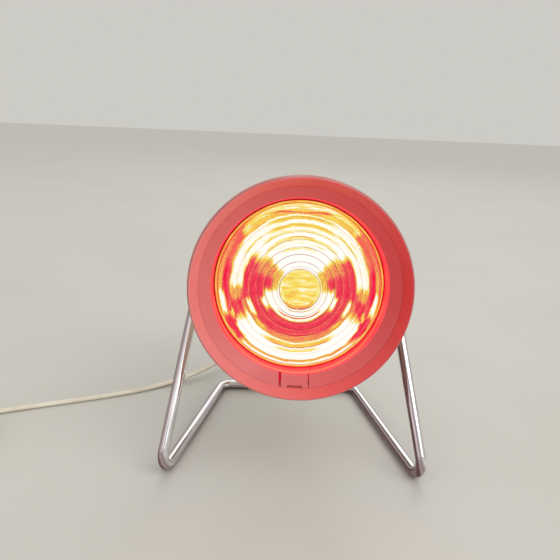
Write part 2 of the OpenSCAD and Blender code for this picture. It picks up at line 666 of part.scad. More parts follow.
core_d = 1.8;
module core_wire(side) in_head() oval_tube(through([
    [side * cord_w / 4, relief_y, cord_end_w + 0.2],
    [side * cord_w / 4, relief_y, cord_end_w + 3],
    [side * (terminal_x / 2 + 1), relief_y - 0.5, terminal_w + 1],
    [side * terminal_x, relief_y + 1.5, terminal_w + 5.5],
    [side * terminal_x, terminal_face_y - 1.5, terminal_w + 6.2],
    [side * terminal_x, terminal_face_y - 0.1, terminal_w + 6.2]], 2), core_d, core_d, 8, [1, 0, 0]);
module live_wire() color([0.45, 0.25, 0.12]) core_wire(1);
module neutral_wire() color([0.15, 0.3, 0.7]) core_wire(-1);

clamp_bar_t = 2;
clamp_y = relief_y + cord_t / 2 + 0.1;
module cord_clamp() color([0.2, 0.2, 0.22]) in_head() difference() {
    translate([-10, clamp_y, shelf_w[0] + 1]) cube([20, clamp_bar_t, shelf_w[1] - shelf_w[0] - 2]);
    for (s = [-1, 1]) translate([s * clamp_x, clamp_y - 1, (shelf_w[0] + shelf_w[1]) / 2])
        rotate([-90, 0, 0]) cylinder(r = pilot_r + fit, h = clamp_bar_t + 2);
}

module clamp_screws() color(steel_tone) in_head() for (s = [-1, 1])
    translate([s * clamp_x, clamp_y + clamp_bar_t, (shelf_w[0] + shelf_w[1]) / 2])
        rotate([90, 0, 0]) pan_screw(2.2, 1.1, pilot_r, clamp_bar_t + cord_t + 5);

// ---- free cord ----
// Points of the cord's middle, chosen by hand: from the strain relief down to the table
exit_point = on_head(0, relief_y, relief_tip_w);
drop_points = concat([exit_point, on_head(0, relief_y, relief_tip_w - 8)],
    [[-1, 114, 82.5], [-6, 123, 76], [-14, 128, 66], [-25, 127, 54], [-37, 119, 42],
        [-49, 104, 30], [-59, 86, 20], [-70.5, 69, 12.5], [-83, 58, 8.6], [-97, 49, 5.6],
        [-110, 42.5, 3.2], [-121, 36.5, 1.9], [-132, 30, 1.4]]);
// The same along the table, to the start of the coil
lead_points = [[-132, 30, 1.4], [-144, 23.5, 1.4], [-166, 14, 1.4], [-187, 5.7, 1.4],
    [-218, -6, 1.4], [-247, -17.4, 1.6], [-268, -26.2, 2.2], [-282, -32, 2.5], [-288, -34.5, 2.5]];

tie_t = 0.8;
turn_step = cord_w + 1.3;                      // from one turn to the next in a layer
layer_step = cord_t + 0.7;                     // from one layer to the next
layers = 4;
climb_turns = 0.5;
rings_per_turn = 24;
coil_start = lead_points[len(lead_points) - 1];
coil_heading = unit(coil_start - lead_points[len(lead_points) - 2]);
coil_centre = [coil_start[0] - coil_heading[1] * coil_r, coil_start[1] + coil_heading[0] * coil_r];
start_angle = atan2(-coil_heading[0], coil_heading[1]);
inner_r = coil_r - turn_step * spiral_turns;
stage_turns = spiral_turns + climb_turns;

// Radius and layer number after u turns: a spiral in or out, then a half turn that climbs a layer
function coil_state(u) =
    let(i = min(floor(u / stage_turns + 1e-6), layers - 1), v = u - i * stage_turns,
        near = i % 2 == 0 ? coil_r : inner_r, away = i % 2 == 0 ? inner_r : coil_r)
    v <= spiral_turns ? [near + (away - near) * v / spiral_turns, i]
        : [away, i + smooth((v - spiral_turns) / climb_turns)];
function coil_point(r, angle, z) =
    [coil_centre[0] + r * cos(angle), coil_centre[1] + r * sin(angle), z];
coil_turns = layers * stage_turns;
coil_rings = round(coil_turns * rings_per_turn);
wound = [for (k = [0:coil_rings])
    let(u = coil_turns * k / coil_rings, s = coil_state(u))
    coil_point(s[0], start_angle + 360 * u, coil_start[2] + layer_step * s[1])];

// From the top of the coil the cord turns in over the turns and runs into the plug
plug_z = coil_start[2] + (layers - 1) * layer_step + cord_t / 2 + seat + plug_t / 2;
tail_r = 22;
end_angle = start_angle + 360 * coil_turns;
tail_centre = coil_point(coil_r - tail_r, end_angle, 0);
tail_steps = 8;
tail_top = coil_start[2] + layers * layer_step;
tail = [for (k = [1:tail_steps]) let(a = end_angle + 90 * k / tail_steps)
    [tail_centre[0] + tail_r * cos(a), tail_centre[1] + tail_r * sin(a),
        tail_top + (plug_z - tail_top) * smooth(k / tail_steps)]];
plug_heading = end_angle + 180;
plug_back = tail[tail_steps - 1] + cord_w * [cos(plug_heading), sin(plug_heading), 0];
coil_path = concat([coil_start], after_first(wound), tail, [plug_back]);

// The three lengths of the cord are cut from one line, so they meet face to face
lead_line = after_first(through(lead_points, 2));
cord_line = concat(drop_points, lead_line, after_first(coil_path));
lead_from = len(drop_points) - 1;
coil_from = lead_from + len(lead_line);
module cord_drop() color(cord_tone) oval_tube(cord_line, cord_w, cord_t, 8, to = lead_from);
module cord_lead() color(cord_tone)
    oval_tube(cord_line, cord_w, cord_t, 8, from = lead_from, to = coil_from);

// Least gap between the turns, from the offsets of rings that lie at the same angle: a lower
// bound, taken as the largest distance between the two sections across any side of the section
section_sides = 6;
function section_gap(v) = max([for (k = [0:section_sides - 1])
    let(a = [cord_w / 2 * cos(60 * k), cord_t / 2 * sin(60 * k)],
        b = [cord_w / 2 * cos(60 * k + 60), cord_t / 2 * sin(60 * k + 60)],
        n = unit([b[1] - a[1], a[0] - b[0]]))
    n * v - 2 * (n * a)]);
function offset_in_section(p, q) =
    [norm([q[0], q[1]] - coil_centre) - norm([p[0], p[1]] - coil_centre), q[2] - p[2]];
function least_gap() = min([for (i = [0:coil_rings], j = [i + rings_per_turn - 1:coil_rings])
    if ((j - i + 1) % rings_per_turn <= 2)
        section_gap(offset_in_section(wound[i], wound[j]))]);

module cord_coil() {
    echo(least_gap_of_the_coil = least_gap());
    echo(length_of_the_cord = line_length(cord_line));
    color(cord_tone) oval_tube(cord_line, cord_w, cord_t, section_sides, from = coil_from);
}

tie_angle = end_angle - 60;
tie_inside = inner_r - cord_w / 2 - 0.6;
tie_outside = coil_r + cord_w / 2 + 0.6;
tie_top = tail_top + cord_t / 2 + seat + tie_t;
module coil_tie() color([0.15, 0.15, 0.16])
    translate([coil_centre[0], coil_centre[1], 0]) rotate(tie_angle)
        translate([0, 3, 0]) rotate([90, 0, 0]) linear_extrude(6) difference() {
            translate([tie_inside - tie_t, 0])
                square([tie_outside - tie_inside + 2 * tie_t, tie_top]);
            translate([tie_inside, tie_t])
                square([tie_outside - tie_inside, tie_top - 2 * tie_t]);
        }

// ---- plug ----
module at_plug() {
    translate(plug_back) rotate(plug_heading) rotate([0, 90, 0]) children();
}

module plug_slice(wide, thick, from, length) {
    translate([0, 0, from]) hull() for (s = [-1, 1])
        translate([0, s * (wide - thick) / 2, 0]) cylinder(d = thick, h = length, $fn = 32);
}

module plug_body() color(cord_tone) at_plug() {
    hull() {
        plug_slice(cord_w + 4, plug_t * 0.62, 0, 8);
        plug_slice(plug_w - 8, plug_t, plug_len * 0.6, 1);
    }
    hull() {
        plug_slice(plug_w - 8, plug_t, plug_len * 0.6, 1);
        plug_slice(plug_w, plug_t, plug_len * 0.75, plug_len * 0.25);
    }
}

module plug_pins() color(brass_tone) at_plug() for (s = [-1, 1])
    translate([0, s * pin_spacing / 2, plug_len]) {
        cylinder(d = pin_d, h = pin_len - 1.2);
        translate([0, 0, pin_len - 1.2]) cylinder(d1 = pin_d, d2 = pin_d - 1.6, h = 1.2);
    }

housing_shell();
front_ring();
rear_cover();
cover_screws();
bulb_lens();
bulb_reflector();
bulb_filament();
bulb_leads();
bulb_cap();
bulb_cap_insulator();
bulb_cap_contact();
holder_body();
holder_sleeve();
holder_contact();
holder_terminals();
terminal_screws();
holder_bracket();
holder_screws();
bracket_screws();
pivot_bush(-1);  // pivot_bush_left
pivot_bush(1);  // pivot_bush_right
friction_washer(-1);  // friction_washer_left
friction_washer(1);  // friction_washer_right
tube_clip(-1);  // tube_clip_left
tube_clip(1);  // tube_clip_right
stand_tube();
strain_relief();
inner_cord();
live_wire();
neutral_wire();
cord_clamp();
clamp_screws();
cord_drop();
cord_lead();
cord_coil();
coil_tie();
plug_body();
plug_pins();
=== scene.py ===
"""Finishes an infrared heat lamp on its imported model: a tilting head on a bent chrome tube.

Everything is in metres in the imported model's frame, with the table at zero height and the lamp
shining towards -Y. Pieces of the head are drawn on the head's own axis, where the third
coordinate is the distance ahead of the tilt axis.
"""
import logging
import math
from dataclasses import dataclass, field
from enum import Enum
from typing import Any, Sequence

import bmesh
import bpy
from mathutils import Matrix, Vector


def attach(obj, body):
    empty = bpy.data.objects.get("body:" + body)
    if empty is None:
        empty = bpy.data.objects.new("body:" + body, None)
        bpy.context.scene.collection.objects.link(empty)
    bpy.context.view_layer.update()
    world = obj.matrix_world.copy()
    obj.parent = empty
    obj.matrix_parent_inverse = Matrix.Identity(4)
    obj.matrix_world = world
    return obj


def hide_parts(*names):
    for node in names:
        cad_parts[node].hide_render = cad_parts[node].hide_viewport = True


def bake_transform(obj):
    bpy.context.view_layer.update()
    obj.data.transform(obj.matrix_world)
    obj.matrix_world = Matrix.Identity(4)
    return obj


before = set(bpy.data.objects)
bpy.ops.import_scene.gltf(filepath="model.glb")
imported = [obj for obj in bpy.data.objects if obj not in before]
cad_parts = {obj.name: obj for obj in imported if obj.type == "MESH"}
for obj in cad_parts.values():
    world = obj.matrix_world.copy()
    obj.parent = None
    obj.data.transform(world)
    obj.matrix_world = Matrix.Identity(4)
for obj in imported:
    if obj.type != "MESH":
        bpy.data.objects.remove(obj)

LOG = logging.getLogger("heat_lamp")
MM = 0.001
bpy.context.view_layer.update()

Point = tuple[float, float, float]
Span = tuple[float, float]
Profile = list[tuple[float, float]]
Colour = tuple[float, float, float, float]


class Body(Enum):
    """The lamp's two rigid bodies."""

    HEAD = "head"
    STAND = "stand"


def srgb(red: int, green: int, blue: int) -> Colour:
    """Turns a colour of a picture into the linear colour that a shader takes.

    Args:
        red: Red from 0 to 255.
        green: Green from 0 to 255.
        blue: Blue from 0 to 255.

    Returns:
        The linear colour with full alpha.
    """
    def linear(value: int) -> float:
        """One channel of it."""
        part = value / 255
        return part / 12.92 if part <= 0.04045 else ((part + 0.055) / 1.055) ** 2.4
    return (linear(red), linear(green), linear(blue), 1.0)


# ---- places shared with the model -----------------------------------------------------------

@dataclass(frozen=True)
class HeadAxes:
    """The head's own axes at rest: x to the right, y up the head, w ahead of the tilt axis."""

    tilt: float = math.radians(9.3)
    pivot: Point = (0.0, -0.0103213, 0.1302)

    def matrix(self) -> Matrix:
        """The turn and shift from the head's axes to the row's frame."""
        return Matrix.Translation(self.pivot) @ Matrix.Rotation(math.pi / 2 - self.tilt, 4, "X")

    def at(self, x: float, y: float, w: float) -> Vector:
        """A point of the head, given in millimetres on its own axes."""
        return self.matrix() @ Vector((x * MM, y * MM, w * MM))


HEAD = HeadAxes()


# ---- meshes ---------------------------------------------------------------------------------

def finished(name: str, mesh: bpy.types.Mesh, sharp: float = 40.0) -> bpy.types.Object:
    """Links a mesh as an object, with its faces outwards and its shading smooth up to an angle.

    Args:
        name: Name of the piece.
        mesh: Its mesh, in the row's frame.
        sharp: Angle in degrees above which an edge stays sharp.

    Returns:
        The object, at the origin.
    """
    bm = bmesh.new()
    bm.from_mesh(mesh)
    bmesh.ops.remove_doubles(bm, verts=bm.verts, dist=1e-6)
    bmesh.ops.recalc_face_normals(bm, faces=bm.faces)
    bm.to_mesh(mesh)
    bm.free()
    mesh.shade_smooth()
    mesh.set_sharp_from_angle(angle=math.radians(sharp))
    mesh.name = name
    piece = bpy.data.objects.new(name, mesh)
    bpy.context.scene.collection.objects.link(piece)
    return piece


def from_rings(name: str, rings: Sequence[Sequence[Vector]], capped: bool = True,
               closed: bool = False, sharp: float = 40.0) -> bpy.types.Object:
    """Skins a row of rings that all have the same number of points.

    Args:
        name: Name of the piece.
        rings: The rings, in order.
        capped: Whether the first and the last ring are filled.
        closed: Whether the last ring joins the first.
        sharp: Angle in degrees above which an edge stays sharp.

    Returns:
        The skinned piece.
    """
    count = len(rings[0])
    points = [point for ring in rings for point in ring]
    spans = len(rings) if closed else len(rings) - 1
    faces: list[tuple[int, ...]] = []
    for row in range(spans):
        low, high = row * count, (row + 1) % len(rings) * count
        faces += [(low + k, low + (k + 1) % count, high + (k + 1) % count, high + k)
                  for k in range(count)]
    if capped and not closed:
        faces.append(tuple(range(count)))
        faces.append(tuple(len(points) - 1 - k for k in range(count)))
    mesh = bpy.data.meshes.new(name)
    mesh.from_pydata(points, [], faces)
    return finished(name, mesh, sharp)


def turned(name: str, profile: Profile, place: Matrix, steps: int = 96, closed: bool = False,
           sharp: float = 40.0) -> bpy.types.Object:
    """Turns a profile round its axis.

    Args:
        name: Name of the piece.
        profile: Radius and height of each point, in millimetres.
        place: Where the axis goes.
        steps: Points in a full turn.
        closed: Whether the profile is a closed loop.
        sharp: Angle in degrees above which an edge stays sharp.

    Returns:
        The turned piece.
    """
    rings = [[place @ Vector((r * MM * math.cos(math.tau * k / steps),
                              r * MM * math.sin(math.tau * k / steps), h * MM))
              for k in range(steps)] for r, h in profile]
    return from_rings(name, rings, capped=not closed, closed=closed, sharp=sharp)


def rounded(profile: Profile, radius: float, steps: int = 4) -> Profile:
    """Rounds the inner corners of an open profile.

    Args:
        profile: The corners, in millimetres.
        radius: Radius of each rounding, cut down where the sides are short.
        steps: Points in each rounding, less one.

    Returns:
        The profile with each corner as a small curve.
    """
    result: Profile = [profile[0]]
    for before, corner, after in zip(profile, profile[1:], profile[2:]):
        here, back = Vector(corner), Vector(before) - Vector(corner)
        ahead = Vector(after) - here
        cut = min(radius, back.length * 0.45, ahead.length * 0.45)
        a, b = here + back.normalized() * cut, here + ahead.normalized() * cut
        for k in range(steps + 1):
            t = k / steps
            point = a * (1 - t) ** 2 + here * 2 * t * (1 - t) + b * t * t
            result.append((point.x, point.y))
    return result + [profile[-1]]


def smooth_line(points: Sequence[Vector], steps: int) -> list[Vector]:
    """Draws the smooth line that passes through every point.

    Args:
        points: The points to pass through.
        steps: Steps from each point to the next.

    Returns:
        The points of the line.
    """
    line: list[Vector] = []
    last = len(points) - 1
    for i in range(last):
        a, b = points[max(i - 1, 0)], points[i]
        c, d = points[i + 1], points[min(i + 2, last)]
        for k in range(steps):
            t = k / steps
            line.append((2 * b + (c - a) * t + (2 * a - 5 * b + 4 * c - d) * t ** 2
                         + (3 * b - 3 * c + d - a) * t ** 3) / 2)
    return line + [points[-1].copy()]


def swept(name: str, path: Sequence[Vector], section: Profile,
          level: bool = True) -> bpy.types.Object:
    """Draws a section along a path.

    Args:
        name: Name of the piece.
        path: The path, in metres.
        section: Points across and up from the path, in millimetres.
        level: Whether the section's width stays level, or is carried along without a twist.

    Returns:
        The swept piece.
    """
    rings: list[list[Vector]] = []
    last = len(path) - 1
    upward = Vector((0, 0, 1))
    for i, point in enumerate(path):
        along = (path[min(i + 1, last)] - path[max(i - 1, 0)]).normalized()
        if i == 0 and abs(along.z) > 0.9:
            upward = Vector((0, 1, 0))
        across = along.cross(upward).normalized()
        lifted = across.cross(along)
        rings.append([point + (across * x + lifted * y) * MM for x, y in section])
        upward = upward if level else lifted
    return from_rings(name, rings)


def circle(radius: float, sides: int) -> Profile:
    """A round section."""
    return [(radius * math.cos(math.tau * k / sides), radius * math.sin(math.tau * k / sides))
            for k in range(sides)]


def stepped(profile: Profile, step: float) -> Profile:
    """Splits the long sides of a closed profile.

    Args:
        profile: The corners, in millimetres.
        step: Longest side that is left.

    Returns:
        The corners with points between them.
    """
    result: Profile = []
    for (r, h), (r1, h1) in zip(profile, profile[1:] + profile[:1]):
        parts = max(1, math.ceil(math.hypot(r1 - r, h1 - h) / step))
        result += [(r + (r1 - r) * k / parts, h + (h1 - h) * k / parts) for k in range(parts)]
    return result


# ---- node trees -----------------------------------------------------------------------------

class Sheet:
    """A node tree with short ways to add nodes. A value given for a socket may be a socket."""

    tree: bpy.types.NodeTree

    def node(self, kind: str, values: dict[Any, Any] | None = None,
             **settings: Any) -> bpy.types.Node:
        """Adds a node.

        Args:
            kind: The node's type.
            values: What its inputs take, by name or number: a value, or a socket to link.
            **settings: The node's own settings.

        Returns:
            The node.
        """
        node = self.tree.nodes.new(kind)
        for key, value in settings.items():
            setattr(node, key, value)
        for key, value in (values or {}).items():
            if isinstance(value, bpy.types.NodeSocket):
                self.tree.links.new(value, node.inputs[key])
            else:
                node.inputs[key].default_value = value
        return node

    def math(self, operation: str, *values: Any) -> bpy.types.NodeSocket:
        """Adds a Math node and returns its result."""
        return self.node("ShaderNodeMath", dict(enumerate(values)), operation=operation).outputs[0]

    def vector(self, operation: str, *values: Any) -> bpy.types.NodeSocket:
        """Adds a Vector Math node and returns its first result that is in use."""
        node = self.node("ShaderNodeVectorMath", dict(enumerate(values)), operation=operation)
        return node.outputs["Value" if operation in ("LENGTH", "DOT_PRODUCT") else "Vector"]

    def joined(self, x: Any, y: Any, z: Any) -> bpy.types.NodeSocket:
        """Joins three numbers into a vector."""
        return self.node("ShaderNodeCombineXYZ", {0: x, 1: y, 2: z}).outputs[0]

    def parts(self, vector: bpy.types.NodeSocket) -> list[bpy.types.NodeSocket]:
        """Splits a vector into its three numbers."""
        return list(self.node("ShaderNodeSeparateXYZ", {0: vector}).outputs)

    def between(self, value: Any, low: Any, high: Any, start: float = 0.0, end: float = 1.0,
                smooth: bool = True) -> bpy.types.NodeSocket:
        """Maps a value from one range to another, held at the ends.

        Args:
            value: The value to map.
            low: Where the first range starts.
            high: Where it ends.
            start: Result at the first range's start.
            end: Result at its end.
            smooth: Whether the change is eased.

        Returns:
            The mapped value.
        """
        return self.node("ShaderNodeMapRange", {0: value, 1: low, 2: high, 3: start, 4: end},
                         interpolation_type="SMOOTHSTEP" if smooth else "LINEAR").outputs[0]

    def mix(self, share: Any, first: Any, second: Any,
            blend: str = "MIX") -> bpy.types.NodeSocket:
        """Mixes two colours.

        Args:
            share: Share of the second colour.
            first: The first colour.
            second: The second colour.
            blend: How the second is laid on the first.

        Returns:
            The mixed colour.
        """
        node = self.node("ShaderNodeMix", data_type="RGBA", blend_type=blend)
        for key, value in ((0, share), (6, first), (7, second)):
            if isinstance(value, bpy.types.NodeSocket):
                self.tree.links.new(value, node.inputs[key])
            else:
                node.inputs[key].default_value = value
        return node.outputs[2]


class Shader(Sheet):
    """A material's node tree, round one Principled shader."""

    def __init__(self, name: str) -> None:
        """Starts a material.

        Args:
            name: Name of the material.
        """
        self.material = bpy.data.materials.new(name)
        self.material.use_nodes = True
        self.tree = self.material.node_tree
        self.surface = self.tree.nodes["Principled BSDF"]
        self.object_point = self.node("ShaderNodeTexCoord").outputs["Object"]

    def set(self, **values: Any) -> None:
        """Sets or links inputs of the Principled shader, with _ in a name for its space."""
        for key, value in values.items():
            socket = self.surface.inputs[key.replace("_", " ")]
            if isinstance(value, bpy.types.NodeSocket):
                self.tree.links.new(value, socket)
            else:
                socket.default_value = value

    def on_head(self) -> bpy.types.NodeSocket:
        """The point's place on the head's own axes."""
        return self.node("ShaderNodeMapping", {
            "Vector": self.object_point, "Location": HEAD.pivot,
            "Rotation": (math.pi / 2 - HEAD.tilt, 0, 0)}, vector_type="TEXTURE").outputs[0]

    def noise(self, scale: float, detail: float = 2.0, rough: float = 0.5,
              point: Any = None) -> bpy.types.NodeSocket:
        """Adds a noise of so many waves to the metre.

        Args:
            scale: Waves to the metre.
            detail: Octaves of it.
            rough: Share of the finer octaves.
            point: Where it is read, or None for the object's own point.

        Returns:
            The noise, about 0.5 in the middle.
        """
        return self.node("ShaderNodeTexNoise", {
            "Vector": self.object_point if point is None else point, "Scale": scale,
            "Detail": detail, "Roughness": rough}).outputs[0]

    def ramp(self, value: Any, stops: Sequence[tuple[float, Colour]]) -> bpy.types.NodeSocket:
        """Colours a value by stops.

        Args:
            value: The value, from 0 to 1.
            stops: Place and colour of each stop, in order.

        Returns:
            The colour.
        """
        node = self.node("ShaderNodeValToRGB", {0: value})
        band = node.color_ramp.elements
        while len(band) < len(stops):
            band.new(1.0)
        for element, (place, colour) in zip(band, stops):
            element.position, element.color = place, colour
        return node.outputs[0]

    def bump(self, height: bpy.types.NodeSocket, depth: float, strength: float = 1.0,
             onto: bpy.types.NodeSocket | None = None) -> bpy.types.NodeSocket:
        """Adds a bump.

        Args:
            height: The relief, from 0 to 1.
            depth: How deep it is, in metres.
            strength: Share of the relief that shows.
            onto: A bump that it is laid on.

        Returns:
            The bent normal.
        """
        values: dict[Any, Any] = {"Height": height, "Distance": depth, "Strength": strength}
        if onto is not None:
            values["Normal"] = onto
        return self.node("ShaderNodeBump", values).outputs[0]


class Recipe(Sheet):
    """A geometry node tree with named sizes that makes one piece."""

    def __init__(self, name: str) -> None:
        """Starts a recipe.

        Args:
            name: Name of the tree.
        """
        self.tree = bpy.data.node_groups.new(name, "GeometryNodeTree")
        self.tree.interface.new_socket("Geometry", in_out="INPUT",
                                       socket_type="NodeSocketGeometry")
        self.tree.interface.new_socket("Geometry", in_out="OUTPUT",
                                       socket_type="NodeSocketGeometry")
        self.entry = self.tree.nodes.new("NodeGroupInput")
        self.sockets: dict[str, str] = {}

    def size(self, label: str, kind: str = "Float") -> bpy.types.NodeSocket:
        """Adds a named input.

        Args:
            label: Its name.
            kind: Kind of socket, such as Float, Int, Vector, Matrix or Material.

        Returns:
            The socket that carries it into the tree.
        """
        item = self.tree.interface.new_socket(label, in_out="INPUT",
                                              socket_type=f"NodeSocket{kind}")
        self.sockets[label] = item.identifier
        return self.entry.outputs[label]

    def moved(self, geometry: bpy.types.NodeSocket,
              position: bpy.types.NodeSocket) -> bpy.types.NodeSocket:
        """Moves every point of a geometry to a position."""
        return self.node("GeometryNodeSetPosition",
                         {"Geometry": geometry, "Position": position}).outputs[0]

    def grid(self, across: Any, around: Any) -> tuple[bpy.types.NodeSocket, ...]:
        """Adds a grid, read as steps across a surface by steps around an axis.

        Args:
            across: Points across.
            around: Points around, the last on the first.

        Returns:
            The grid, each point's share across, from 0 to 1, and its angle around.
        """
        mesh = self.node("GeometryNodeMeshGrid", {"Size X": 1.0, "Size Y": 1.0,
                                                  "Vertices X": across, "Vertices Y": around})
        x, y, _ = self.parts(self.node("GeometryNodeInputPosition").outputs[0])
        angle = self.math("MULTIPLY", self.math("ADD", y, 0.5), math.tau)
        return mesh.outputs[0], self.math("ADD", x, 0.5), angle

    def given(self) -> bpy.types.NodeSocket:
        """The geometry that the tree is given."""
        return self.entry.outputs["Geometry"]

    def end(self, geometry: bpy.types.NodeSocket) -> None:
        """Ends the tree: instances are made real, doubles merged and the finish set."""
        real = self.node("GeometryNodeRealizeInstances", {0: geometry}).outputs[0]
        merged = self.node("GeometryNodeMergeByDistance",
                           {"Geometry": real, "Distance": 2e-6}).outputs[0]
        coated = self.node("GeometryNodeSetMaterial",
                           {"Geometry": merged, "Material": self.size("Finish", "Material")})
        self.node("NodeGroupOutput", {0: coated.outputs[0]})

    def make(self, name: str, place: Matrix, finish: bpy.types.Material,
             seed: bpy.types.Mesh | None = None, sharp: float = 40.0,
             **sizes: Any) -> bpy.types.Object:
        """Runs the recipe and keeps its result as a plain mesh.

        Args:
            name: Name of the piece.
            place: Where the piece goes.
            finish: Its material.
            seed: The mesh that the recipe starts from, or None for an empty one.
            sharp: Angle in degrees above which an edge stays sharp.
            **sizes: The recipe's sizes, with _ in a name for its space.

        Returns:
            The finished piece.
        """
        base = seed or bpy.data.meshes.new(name + "_start")
        worker = bpy.data.objects.new(name + "_start", base)
        bpy.context.scene.collection.objects.link(worker)
        modifier = worker.modifiers.new("recipe", "NODES")
        modifier.node_group = self.tree
        modifier[self.sockets["Finish"]] = finish
        for key, value in sizes.items():
            modifier[self.sockets[key.replace("_", " ")]] = value
        bpy.context.view_layer.update()
        shape = worker.evaluated_get(bpy.context.evaluated_depsgraph_get())
        mesh = bpy.data.meshes.new_from_object(shape)
        worker.modifiers.clear()
        bpy.data.objects.remove(worker)
        mesh.transform(place)
        return finished(name, mesh, sharp)


def groove_recipe() -> Recipe:
    """Writes the rule that cuts rings, or a thread, into the piece that it is given.

    Returns:
        The recipe.
    """
    recipe = Recipe("grooves")
    pitch, depth, helix = recipe.size("Pitch"), recipe.size("Depth"), recipe.size("Helix")
    start, end = recipe.size("Start"), recipe.size("End")
    least, most = recipe.size("Least Radius"), recipe.size("Most Radius")
    x, y, z = recipe.parts(recipe.node("GeometryNodeInputPosition").outputs[0])
    radius = recipe.vector("LENGTH", recipe.joined(x, y, 0.0))
    phase = recipe.math("MULTIPLY", recipe.math("DIVIDE", z, pitch), math.tau)
    turn = recipe.math("MULTIPLY", recipe.math("ARCTAN2", y, x), helix)
    wave = recipe.math("MULTIPLY_ADD", recipe.math("COSINE", recipe.math(
        "SUBTRACT", phase, turn)), 0.5, 0.5)
    run_in = recipe.math("MULTIPLY", pitch, 0.4)
    cut = recipe.math("MULTIPLY", wave, depth)
    for mask in (recipe.between(z, start, recipe.math("ADD", start, run_in)),
                 recipe.between(z, recipe.math("SUBTRACT", end, run_in), end, 1.0, 0.0),
                 recipe.math("GREATER_THAN", radius, least),
                 recipe.math("LESS_THAN", radius, most)):
        cut = recipe.math("MULTIPLY", cut, mask)
    share = recipe.math("SUBTRACT", 1.0, recipe.math(
        "DIVIDE", cut, recipe.math("MAXIMUM", radius, 1e-6)))
    point = recipe.joined(recipe.math("MULTIPLY", x, share),
                          recipe.math("MULTIPLY", y, share), z)
    recipe.end(recipe.moved(recipe.given(), point))
    return recipe


def circle_recipe() -> Recipe:
    """Writes the rule that repeats the piece that it is given round a circle.

    Returns:
        The recipe.
    """
    recipe = Recipe("round_a_circle")
    count, radius = recipe.size("Count", "Int"), recipe.size("Radius")
    first, spin = recipe.size("First Angle"), recipe.size("Spin")
    points = recipe.node("GeometryNodePoints", {"Count": count}).outputs[0]
    index = recipe.node("GeometryNodeInputIndex").outputs[0]
    angle = recipe.math("ADD", first, recipe.math(
        "DIVIDE", recipe.math("MULTIPLY", index, math.tau), count))
    spots = recipe.moved(points, recipe.joined(
        recipe.math("MULTIPLY", radius, recipe.math("COSINE", angle)),
        recipe.math("MULTIPLY", radius, recipe.math("SINE", angle)), 0.0))
    copies = recipe.node("GeometryNodeInstanceOnPoints", {
        "Points": spots, "Instance": recipe.given(),
        "Rotation": recipe.joined(0.0, 0.0, recipe.math("MULTIPLY", index, spin))})
    recipe.end(copies.outputs[0])
    return recipe


# ---- finishes -------------------------------------------------------------------------------

class Region(Enum):
    """Which moulding of the head a plastic finish is for."""

    SHELL = "shell"
    RING = "ring"
    COVER = "cover"


@dataclass(frozen=True)
class PaintedLampLight:
    """The lamp's light painted as colour on a face that it falls on, from the lower left round."""

    pale: Colour
    middle: Colour
    deep: Colour

    def colour(self, sheet: Shader, aside: Any) -> bpy.types.NodeSocket:
        """Colours a place that is so far to the right, from -1 to 1."""
        return sheet.ramp(sheet.between(aside, -1.0, 1.0, smooth=False),
                          [(0.0, self.pale), (0.5, self.middle), (1.0, self.deep)])


